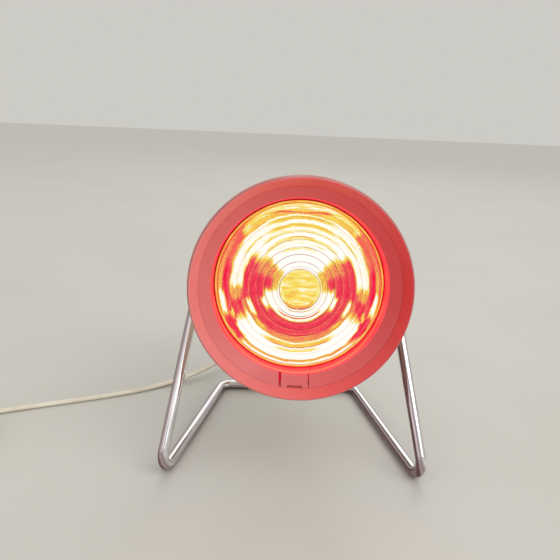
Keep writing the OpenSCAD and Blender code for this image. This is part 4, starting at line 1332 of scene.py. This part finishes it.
@dataclass
class FlatCord:
    """The free two-core cord: down from the head, along the table and round its coil."""

    width: float = 5.4
    thickness: float = 2.7
    length: float = 2.0
    tip_w: float = -114.0
    exit_y: float = -26.0
    coil_radius: float = 34.8
    spiral_turns: float = 1.65
    climb_turns: float = 0.5
    layers: int = 4
    turn_step: float = 6.7
    layer_step: float = 3.4
    plug_thickness: float = 13.7
    tail_radius: float = 22.0
    bend_start: Point = (0, 94, 90)
    bend_end: Point = (-45, 140, 20)
    hanging: tuple[Point, ...] = (
        (-1, 114, 82.5), (-6, 123, 76), (-14, 128, 66), (-25, 127, 54), (-37, 119, 42),
        (-49, 104, 30), (-59, 86, 20), (-70.5, 69, 12.5), (-83, 58, 8.6), (-97, 49, 5.6),
        (-110, 42.5, 3.2), (-121, 36.5, 1.9), (-132, 30, 1.4))
    lying: tuple[Point, ...] = (
        (-144, 23.5, 1.4), (-166, 14, 1.4), (-187, 5.7, 1.4), (-218, -6, 1.4),
        (-247, -17.4, 1.6), (-268, -26.2, 2.2), (-282, -32, 2.5), (-288, -34.5, 2.5))

    def exit(self) -> Vector:
        """The point where the cord leaves the strain relief."""
        return HEAD.at(0, self.exit_y, self.tip_w)

    def centre(self) -> Vector:
        """The coil's middle, on the table, in millimetres."""
        start, before = Vector(self.lying[-1]), Vector(self.lying[-2])
        ahead = (start - before).normalized()
        return Vector((start.x - ahead.y * self.coil_radius,
                       start.y + ahead.x * self.coil_radius, 0))

    def start_angle(self) -> float:
        """Angle of the coil's start round its middle, in radians."""
        side = Vector(self.lying[-1]) - self.centre()
        return math.atan2(side.y, side.x)

    def turns(self) -> float:
        """Turns of the whole coil."""
        return self.layers * (self.spiral_turns + self.climb_turns)

    def end_angle(self) -> float:
        """Angle at which the last turn ends, in radians."""
        return self.start_angle() + math.tau * self.turns()

    def coil(self, steps: int = 32) -> list[Vector]:
        """Winds the coil: in and out by layers, each climb at the inside or the outside.

        Args:
            steps: Points in a turn.

        Returns:
            Its points in millimetres.
        """
        stage = self.spiral_turns + self.climb_turns
        inner = self.coil_radius - self.turn_step * self.spiral_turns
        middle, base = self.centre(), self.lying[-1][2]
        points: list[Vector] = []
        count = round(self.turns() * steps)
        for k in range(1, count + 1):
            u = self.turns() * k / count
            i = min(int(u / stage + 1e-6), self.layers - 1)
            v = u - i * stage
            near, away = ((self.coil_radius, inner) if i % 2 == 0 else (inner, self.coil_radius))
            if v <= self.spiral_turns:
                radius, layer = near + (away - near) * v / self.spiral_turns, float(i)
            else:
                share = (v - self.spiral_turns) / self.climb_turns
                radius, layer = away, i + share * share * (3 - 2 * share)
            angle = self.start_angle() + math.tau * u
            points.append(middle + Vector((radius * math.cos(angle), radius * math.sin(angle),
                                           base + self.layer_step * layer)))
        return points

    def tail(self) -> list[Vector]:
        """Turns the cord in over the coil and into the plug.

        Returns:
            Its points in millimetres.
        """
        base = self.lying[-1][2]
        top = base + self.layers * self.layer_step
        plug_z = (base + (self.layers - 1) * self.layer_step + self.thickness / 2 + 0.3
                  + self.plug_thickness / 2)
        end = self.end_angle()
        out = self.coil_radius - self.tail_radius
        hub = self.centre() + Vector((out * math.cos(end), out * math.sin(end), 0))
        points: list[Vector] = []
        for k in range(1, 17):
            share = k / 16
            angle = end + math.pi / 2 * share
            points.append(hub + Vector((
                self.tail_radius * math.cos(angle), self.tail_radius * math.sin(angle),
                top + (plug_z - top) * share * share * (3 - 2 * share))))
        return points + [points[-1] + self.width * self.plug_heading()]

    def plug_heading(self) -> Vector:
        """Direction in which the plug points."""
        turn = self.end_angle() + math.pi
        return Vector((math.cos(turn), math.sin(turn), 0))

    def plug_back(self) -> Vector:
        """Where the cord meets the plug, in metres."""
        return self.tail()[-1] * MM

    def path(self) -> list[Vector]:
        """The whole cord's middle line, in metres."""
        drop = [self.exit(), HEAD.at(0, self.exit_y, self.tip_w - 8)]
        drop += [Vector(point) * MM for point in self.hanging + self.lying]
        line = smooth_line(drop, 4)
        return line + [point * MM for point in self.coil() + self.tail()]

    def section(self) -> Profile:
        """Its section: two round cores side by side, with a groove above and below."""
        core = self.thickness / 2
        right = [(core + core * math.cos(math.radians(a)), core * math.sin(math.radians(a)))
                 for a in range(-150, 151, 25)]
        return right + [(-x, -y) for x, y in right]

    def build(self, finish: bpy.types.Material,
              with_pieces: Sequence[bpy.types.Object]) -> bpy.types.Object:
        """Makes the cord.

        Args:
            finish: Its material.
            with_pieces: The tie and the plug's pieces. Not used.

        Returns:
            The cord.
        """
        path = self.path()
        cord = swept("flat_cord", path, self.section())
        cord.data.materials.append(finish)
        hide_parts("cord_drop", "cord_lead", "cord_coil")
        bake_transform(cord)
        LOG.info("flat_cord runs from head to stand, %d faces", len(cord.data.polygons))
        return cord


@dataclass
class CoilTie:
    """The strap round one side of the coil."""

    width: float = 6.0
    thickness: float = 0.8
    corner: float = 3.0
    side_gap: float = 0.6
    top_gap: float = 0.3
    edge: Profile = field(default_factory=lambda: [
        (-1, -0.6), (-0.94, -1), (0.94, -1), (1, -0.6), (1, 0.6), (0.94, 1), (-0.94, 1),
        (-1, 0.6)])

    def build(self, cord: FlatCord, finish: bpy.types.Material) -> bpy.types.Object:
        """Makes the strap.

        Args:
            cord: The cord that it holds.
            finish: Its material.

        Returns:
            The strap.
        """
        half = self.thickness / 2
        inner = cord.coil_radius - cord.turn_step * cord.spiral_turns
        low_r = inner - cord.width / 2 - self.side_gap - half
        high_r = cord.coil_radius + cord.width / 2 + self.side_gap + half
        top = (cord.lying[-1][2] + cord.layers * cord.layer_step + cord.thickness / 2
               + self.top_gap + half)
        corners = [(low_r, half, 180), (high_r, half, 270), (high_r, top, 0), (low_r, top, 90)]
        outline: list[tuple[float, float]] = []
        for x, z, start in corners:
            cx = x + self.corner * (1 if x == low_r else -1)
            cz = z + self.corner * (1 if z == half else -1)
            for k in range(7):
                turn = math.radians(start + 15 * k)
                outline.append((cx + self.corner * math.cos(turn),
                                cz + self.corner * math.sin(turn)))
        angle = cord.end_angle() - math.radians(60)
        out = Vector((math.cos(angle), math.sin(angle), 0))
        path = [(cord.centre() + out * x + Vector((0, 0, z))) * MM for x, z in outline]
        side = Vector((-out.y, out.x, 0))
        rings: list[list[Vector]] = []
        for i, point in enumerate(path):
            along = (path[(i + 1) % len(path)] - path[i - 1]).normalized()
            normal = side.cross(along)
            rings.append([point + (side * u * self.width / 2 + normal * v * half) * MM
                          for u, v in self.edge])
        strap = from_rings("coil_strap", rings, closed=True)
        return settle(strap, Body.STAND, finish, ["coil_tie"])


@dataclass
class Plug:
    """The flat two-pin plug on the coil."""

    length: float = 34.0
    spacing: float = 18.6
    pin_radius: float = 2.0
    pin_length: float = 19.0
    squareness: float = 0.62
    stations: tuple[Point, ...] = (
        (0.0, 3.9, 3.4), (0.8, 4.6, 4.1), (4.0, 5.6, 4.6), (9.0, 9.2, 5.5), (14.0, 11.9, 6.0),
        (18.0, 12.7, 6.2), (21.5, 13.6, 6.5), (24.5, 16.2, 6.8), (27.0, 17.5, 6.85),
        (31.5, 17.65, 6.85), (33.2, 17.3, 6.5), (34.0, 16.2, 5.4))

    def place(self, cord: FlatCord) -> Matrix:
        """Puts +Z along the plug and +Y from pin to pin."""
        ahead = cord.plug_heading()
        side = Vector((-ahead.y, ahead.x, 0))
        turn = Matrix((side.cross(ahead), side, ahead)).transposed().to_4x4()
        return Matrix.Translation(cord.plug_back()) @ turn

    def build(self, cord: FlatCord, finish: bpy.types.Material,
              metal: bpy.types.Material) -> list[bpy.types.Object]:
        """Makes the body and the pins.

        Args:
            cord: The cord that it is on.
            finish: The body's material.
            metal: The pins' material.

        Returns:
            The body and the pins.
        """
        place = self.place(cord)
        rings: list[list[Vector]] = []
        for s, wide, thick in self.stations:
            ring: list[Vector] = []
            for k in range(48):
                turn = math.tau * k / 48
                across, up = (math.copysign(abs(part) ** self.squareness, part)
                              for part in (math.cos(turn), math.sin(turn)))
                ring.append(place @ Vector((thick * up * MM, wide * across * MM, s * MM)))
            rings.append(ring)
        body = from_rings("plug_moulding", rings)
        soften = body.modifiers.new("soften", "SUBSURF")
        soften.levels = soften.render_levels = 1
        settle(body, Body.STAND, finish, ["plug_body"])
        profile = rounded([(0, self.length), (self.pin_radius, self.length),
                           (self.pin_radius, self.length + self.pin_length - 0.2),
                           (0, self.length + self.pin_length)], 1.2)
        pins = [turned(f"pin_{k}", profile, place @ Matrix.Translation(
            (0, k * self.spacing / 2 * MM, 0)), 32) for k in (-1, 1)]
        pair = merged("plug_contacts", pins)
        settle(pair, Body.STAND, metal, ["plug_pins"])
        return [body, pair]


def merged(name: str, pieces: Sequence[bpy.types.Object]) -> bpy.types.Object:
    """Joins pieces into one object.

    Args:
        name: Name of the result.
        pieces: What is joined. They are used up.

    Returns:
        The joined piece.
    """
    bm = bmesh.new()
    for piece in pieces:
        bm.from_mesh(piece.data)
    for piece in pieces:
        bpy.data.objects.remove(piece)
    mesh = bpy.data.meshes.new(name)
    bm.to_mesh(mesh)
    bm.free()
    return finished(name, mesh)


class Drive(Enum):
    """The recess in a screw's head."""

    CROSS = "cross"
    SLOT = "slot"


@dataclass(frozen=True)
class Screw:
    """A pan-head screw. Its head lies below zero on its own axis and its shank above."""

    head: float
    height: float
    shank: float
    length: float
    drive: Drive = Drive.CROSS
    pitch: float = 0.9
    thread_depth: float = 0.24

    def recess(self) -> Profile:
        """Draws the outline of the driver's recess.

        Returns:
            Its corners, in millimetres.
        """
        arm, half = self.head * 0.62, self.head * 0.13
        if self.drive is Drive.SLOT:
            return [(self.head * 1.2, half), (-self.head * 1.2, half),
                    (-self.head * 1.2, -half), (self.head * 1.2, -half)]
        return [(arm, half), (half, half), (half, arm), (-half, arm), (-half, half), (-arm, half),
                (-arm, -half), (-half, -half), (-half, -arm), (half, -arm), (half, -half),
                (arm, -half)]

    def mesh(self, grooves: Recipe, finish: bpy.types.Material) -> bpy.types.Mesh:
        """Makes the screw with its recess and its thread.

        Args:
            grooves: The recipe that cuts the thread.
            finish: Its material.

        Returns:
            Its mesh, on its own axis.
        """
        h, tip = self.height, self.length
        rows = max(8, round((tip - 1.4) / 0.14))
        outline = rounded([(0, -h), (self.head * 0.7, -h * 0.96), (self.head, -h * 0.5),
                           (self.head, 0), (self.shank, 0)], 0.5)
        outline += [(self.shank, 0.3 + (tip - 1.4) * k / rows) for k in range(rows)]
        outline += [(self.shank * 0.35, tip - 0.1), (0, tip)]
        blank = turned("screw_blank", outline, Matrix.Identity(4), 24)
        cutter = from_rings("screw_recess", [
            [Vector((x, y, z)) * MM for x, y in self.recess()] for z in (-h - 0.3, -h * 0.3)])
        cut = blank.modifiers.new("recess", "BOOLEAN")
        cut.operation, cut.object, cut.solver = "DIFFERENCE", cutter, "EXACT"
        bpy.context.view_layer.update()
        shape = blank.evaluated_get(bpy.context.evaluated_depsgraph_get())
        mesh = bpy.data.meshes.new_from_object(shape)
        for tool in (blank, cutter):
            bpy.data.objects.remove(tool)
        threaded = grooves.make("screw_thread", Matrix.Identity(4), finish, mesh,
                                Pitch=self.pitch * MM, Depth=self.thread_depth * MM, Helix=1.0,
                                Start=0.4 * MM, End=(tip - 0.6) * MM,
                                Least_Radius=self.shank * 0.8 * MM,
                                Most_Radius=self.shank * 1.1 * MM)
        mesh = threaded.data
        bpy.data.objects.remove(threaded)
        return mesh


@dataclass
class ScrewSet:
    """Every screw of the lamp, each kind repeated round the place that it holds."""

    grooves: Recipe
    circle: Recipe
    finish: bpy.types.Material

    def place(self, name: str, node: str, screw: Screw, count: int, radius: float,
              centre: Point, lean: float = 0.0, first: float = 0.0) -> None:
        """Sets one kind of screw round a circle.

        Args:
            name: Name of the piece.
            node: The model's node that it replaces.
            screw: The screw.
            count: How many there are.
            radius: The circle's radius in millimetres.
            centre: Its middle on the head's axes, in millimetres.
            lean: Turn of the circle about the head's x axis, in degrees.
            first: Angle of the first screw, in degrees.
        """
        where = (HEAD.matrix() @ Matrix.Translation(Vector(centre) * MM)
                 @ Matrix.Rotation(math.radians(lean), 4, "X"))
        piece = self.circle.make(name, where, self.finish, screw.mesh(self.grooves, self.finish),
                                 Count=count, Radius=radius * MM, Spin=0.7,
                                 First_Angle=math.radians(first))
        settle(piece, Body.HEAD, self.finish, [node])

    def build(self) -> None:
        """Makes them all."""
        self.place("screws_of_cover", "cover_screws", Screw(3.0, 2.0, 1.25, 17.0), 3, 31.0,
                   (0, 0, -69.0), first=90)
        self.place("screws_of_bracket", "bracket_screws", Screw(2.8, 1.8, 1.25, 9.2), 2, 31.0,
                   (0, 0, -61.2))
        self.place("screws_of_holder", "holder_screws", Screw(2.6, 1.6, 1.25, 4.7), 2, 10.0,
                   (0, 0, -84.1))
        self.place("screws_of_terminals", "terminal_screws",
                   Screw(1.8, 1.2, 1.0, 2.6, Drive.SLOT), 2, 8.0, (0, -19.5, -62.5), lean=-90)
        self.place("screws_of_clamp", "clamp_screws", Screw(2.2, 1.1, 1.25, 9.7), 2, 6.6,
                   (0, -22.55, -73.3), lean=90)


@dataclass
class Head:
    """The head's mouldings."""

    def build(self, finishes: Finishes) -> None:
        """Dresses the mouldings.

        Args:
            finishes: The lamp's finishes.
        """
        dress(["housing_shell"], finishes.shell)
        dress(["front_ring"], finishes.ring)
        dress(["rear_cover"], finishes.cover)


@dataclass
class Bulb:
    """The reflector bulb."""

    radius: float = 60.6
    edge_w: float = 47.3
    dome: float = 10.0
    ring_start: float = 14.8
    ring_step: float = 5.05
    ripple: float = 0.6
    coil_turns: int = 12
    coil_half: float = 11.0
    coil_radius: float = 1.4
    focus_w: float = -6.92
    wire_radius: float = 0.3
    cap_radius: float = 13.2
    cap_w: Span = (-69.7, -47.7)
    thread_pitch: float = 3.6
    thread_depth: float = 0.5
    edge_fall: float = 1.0
    glass: float = 2.2
    rings: int = 260
    segments: int = 193

    def filament(self, finish: bpy.types.Material) -> None:
        """Winds the filament.

        Args:
            finish: Its material.
        """
        steps = 20
        path: list[Vector] = []
        for k in range(self.coil_turns * steps + 1):
            turn = math.tau * k / steps
            path.append(HEAD.at(self.coil_half * (1 - 2 * k / (self.coil_turns * steps)),
                                self.coil_radius * math.sin(turn),
                                self.focus_w + self.coil_radius * (1 - math.cos(turn))))
        coil = swept("wound_filament", path, circle(self.wire_radius, 8), level=False)
        settle(coil, Body.HEAD, finish, ["bulb_filament"])

    def cap(self, grooves: Recipe, finish: bpy.types.Material) -> None:
        """Rolls the thread into the cap.

        Args:
            grooves: The recipe that cuts threads.
            finish: Its material.
        """
        low, high = self.cap_w
        r, bore = self.cap_radius, self.cap_radius - 0.85
        outline = stepped([(bore, high), (r, high), (r, low), (r - 3.5, low - 2),
                           (r - 4.3, low - 1.3), (bore, low + 0.6)], 0.45)
        blank = turned("cap_blank", outline, Matrix.Identity(4), 96, closed=True)
        piece = grooves.make("threaded_cap", HEAD.matrix(), finish, blank.data,
                             Pitch=self.thread_pitch * MM, Depth=self.thread_depth * MM,
                             Helix=1.0, Start=(low + 0.5) * MM, End=(high - 1.5) * MM,
                             Least_Radius=(r - 0.1) * MM, Most_Radius=(r + 0.1) * MM)
        bpy.data.objects.remove(blank)
        settle(piece, Body.HEAD, finish, ["bulb_cap"])

    def lens_recipe(self) -> Recipe:
        """Writes the lens's rule: a dome with moulded rings and a rounded edge.

        Returns:
            The recipe.
        """
        recipe = Recipe("moulded_lens")
        radius, dome = recipe.size("Radius"), recipe.size("Dome")
        start, step = recipe.size("Ring Start"), recipe.size("Ring Step")
        ripple, edge = recipe.size("Ripple"), recipe.size("Edge")
        mesh, share, angle = recipe.grid(recipe.size("Rings", "Int"),
                                         recipe.size("Segments", "Int"))
        reach = recipe.math("MINIMUM", recipe.math("DIVIDE", share, 0.97), 1.0)
        r = recipe.math("MULTIPLY", reach, radius)
        fall = recipe.math("MULTIPLY", recipe.math("MULTIPLY", reach, reach), dome)
        height = recipe.math("SUBTRACT", dome, fall)
        ring = recipe.math("DIVIDE", recipe.math("SUBTRACT", r, start), step)
        wave = recipe.math("COSINE", recipe.math("MULTIPLY", ring, math.tau))
        inside = recipe.math("MULTIPLY",
                             recipe.between(r, start, recipe.math("ADD", start, 1e-6)),
                             recipe.between(recipe.math("SUBTRACT", radius, r), 1.5 * MM,
                                            3.5 * MM))
        height = recipe.math("MULTIPLY_ADD", recipe.math("MULTIPLY", wave, inside),
                             recipe.math("MULTIPLY", ripple, -0.5), height)
        lip = recipe.between(share, 0.97, 1.0, smooth=False)
        height = recipe.math("SUBTRACT", height, recipe.math("MULTIPLY", lip, edge))
        point = recipe.joined(recipe.math("MULTIPLY", r, recipe.math("COSINE", angle)),
                              recipe.math("MULTIPLY", r, recipe.math("SINE", angle)), height)
        recipe.end(recipe.moved(mesh, point))
        return recipe

    def build(self, finishes: Finishes, grooves: Recipe) -> None:
        """Makes the lens, the filament and the cap, and dresses the rest of the bulb.

        Args:
            finishes: The lamp's finishes.
            grooves: The recipe that cuts threads.
        """
        self.filament(finishes.filament)
        self.cap(grooves, finishes.brass)
        place = HEAD.matrix() @ Matrix.Translation((0, 0, self.edge_w * MM))
        lens = self.lens_recipe().make(
            "ruby_lens", place, finishes.lens, sharp=60, Radius=self.radius * MM,
            Dome=self.dome * MM, Ring_Start=self.ring_start * MM,
            Ring_Step=self.ring_step * MM, Ripple=self.ripple * MM, Edge=self.edge_fall * MM,
            Rings=self.rings, Segments=self.segments)
        thick = lens.modifiers.new("glass", "SOLIDIFY")
        thick.thickness, thick.offset = self.glass * MM, -1
        settle(lens, Body.HEAD, finishes.lens, ["bulb_lens"])
        dress(["bulb_reflector"], finishes.mirror)
        dress(["bulb_leads"], finishes.tungsten)
        dress(["bulb_cap_contact"], finishes.brass)
        dress(["bulb_cap_insulator"], finishes.insulator)


@dataclass
class Holder:
    """The lampholder, its bracket and the mains side."""

    relief_y: float = -26.0
    relief_bore: float = 2.85
    relief_tip: Span = (3.9, -114.0)
    rib_pitch: float = 2.4
    rib_depth: float = 0.8
    cord_end_w: float = -67.0
    terminal_x: float = 8.0
    core_radius: float = 0.9
    sleeve_radius: float = 13.5
    sleeve_w: Span = (-77.9, -48.7)
    thread_pitch: float = 3.6
    thread_depth: float = 0.4

    def relief(self, grooves: Recipe, finish: bpy.types.Material) -> None:
        """Makes the ribbed strain relief, with its flanges and its bore.

        Args:
            grooves: The recipe that cuts its ribs.
            finish: Its material.
        """
        tip_r, tip = self.relief_tip
        bore = self.relief_bore
        outline = stepped(rounded([
            (bore, tip), (tip_r, tip), (5.6, -96.0), (6.8, -94.0), (6.8, -92.2), (4.5, -92.2),
            (4.5, -79.7), (5.6, -79.7), (5.0, -78.1), (bore, -78.1)], 0.5, 3), 0.3)
        blank = turned("relief_blank", outline, Matrix.Identity(4), 64, closed=True)
        piece = grooves.make(
            "ribbed_relief", HEAD.matrix() @ Matrix.Translation((0, self.relief_y * MM, 0)),
            finish, blank.data, Pitch=self.rib_pitch * MM, Depth=self.rib_depth * MM,
            Helix=0.0, Start=(tip + 1.2) * MM, End=-96.2 * MM,
            Least_Radius=(bore + 0.4) * MM, Most_Radius=6.0 * MM)
        bpy.data.objects.remove(blank)
        settle(piece, Body.HEAD, finish, ["strain_relief"])

    def sleeve(self, grooves: Recipe, finish: bpy.types.Material) -> None:
        """Makes the holder's threaded sleeve.

        Args:
            grooves: The recipe that cuts threads.
            finish: Its material.
        """
        r, (low, high) = self.sleeve_radius, self.sleeve_w
        outline = stepped([(r, low + 0.6), (r, high), (r + 0.6, high), (r + 0.6, low),
                           (r - 2.3, low), (r - 2.3, low + 0.6)], 0.45)
        blank = turned("sleeve_blank", outline, Matrix.Identity(4), 96, closed=True)
        piece = grooves.make("threaded_sleeve", HEAD.matrix(), finish, blank.data,
                             Pitch=self.thread_pitch * MM, Depth=-self.thread_depth * MM,
                             Helix=1.0, Start=(low + 2) * MM, End=(high - 1) * MM,
                             Least_Radius=(r - 0.1) * MM, Most_Radius=(r + 0.1) * MM)
        bpy.data.objects.remove(blank)
        settle(piece, Body.HEAD, finish, ["holder_sleeve"])

    def inside_cord(self, cord: FlatCord, finish: bpy.types.Material) -> None:
        """Runs the cord's covered end through the relief and the clamp.

        Args:
            cord: The free cord, whose section it keeps.
            finish: Its material.
        """
        tip = self.relief_tip[1]
        path = [HEAD.at(0, self.relief_y, tip + (self.cord_end_w - tip) * k / 16)
                for k in range(17)]
        piece = swept("sheathed_cord", path, cord.section())
        settle(piece, Body.HEAD, finish, ["inner_cord"])

    def core(self, side: int, name: str, node: str, slot: str,
             finish: bpy.types.Material) -> None:
        """Bends one core from the cord's end to its terminal.

        Args:
            side: 1 for the right core, -1 for the left.
            name: Name of the piece.
            node: The model's node that it replaces.
            slot: Its material slot. Not used.
            finish: Its material.
        """
        end, y = self.cord_end_w, self.relief_y
        bends = [(1.35, y, end + 0.2), (1.35, y, end + 3), (5.0, y - 0.5, end + 3.3),
                 (self.terminal_x, y + 1.5, end + 7.8), (self.terminal_x, -21.0, end + 8.5),
                 (self.terminal_x, -19.6, end + 8.5)]
        path = smooth_line([HEAD.at(side * x, up, w) for x, up, w in bends], 8)
        piece = swept(name, path, circle(self.core_radius, 14), level=False)
        settle(piece, Body.HEAD, finish, [node])

    def build(self, finishes: Finishes, grooves: Recipe, cord: FlatCord) -> None:
        """Makes the mains side and dresses the holder.

        Args:
            finishes: The lamp's finishes.
            grooves: The recipe that cuts ribs and threads.
            cord: The free cord.
        """
        self.relief(grooves, finishes.cord)
        self.sleeve(grooves, finishes.brass)
        self.inside_cord(cord, finishes.cord)
        self.core(1, "brown_wire", "live_wire", "brown_core", finishes.brown)
        self.core(-1, "blue_wire", "neutral_wire", "blue_core", finishes.blue)
        dress(["holder_body"], finishes.ceramic)
        dress(["holder_contact", "holder_terminals"], finishes.brass)
        dress(["holder_bracket"], finishes.zinc)
        dress(["cord_clamp"], finishes.nylon)


@dataclass
class Stand:
    """The bent tube and what it turns in."""

    def build(self, finishes: Finishes) -> None:
        """Dresses the tube, the bushes, the washers and the clips.

        Args:
            finishes: The lamp's finishes.
        """
        dress(["stand_tube"], finishes.chrome)
        dress(["pivot_bush_left", "pivot_bush_right"], finishes.nylon)
        dress(["friction_washer_left", "friction_washer_right", "tube_clip_left",
               "tube_clip_right"], finishes.zinc)


def main() -> None:
    """Builds the scene in order: camera, cords, pieces, floor and light."""
    logging.basicConfig(level=logging.INFO, format="%(name)s: %(message)s", force=True)
    Camera().build()
    finishes = Finishes.build()
    cord = FlatCord()
    plug = Plug().build(cord, finishes.cord, finishes.brass)
    tie = CoilTie().build(cord, finishes.strap)
    cord.build(finishes.cord, [*plug, tie])
    Head().build(finishes)
    grooves = groove_recipe()
    ScrewSet(grooves, circle_recipe(), finishes.zinc).build()
    Bulb().build(finishes, grooves)
    Holder().build(finishes, grooves, cord)
    Stand().build(finishes)
    Studio().build()


if __name__ == "__main__":
    main()
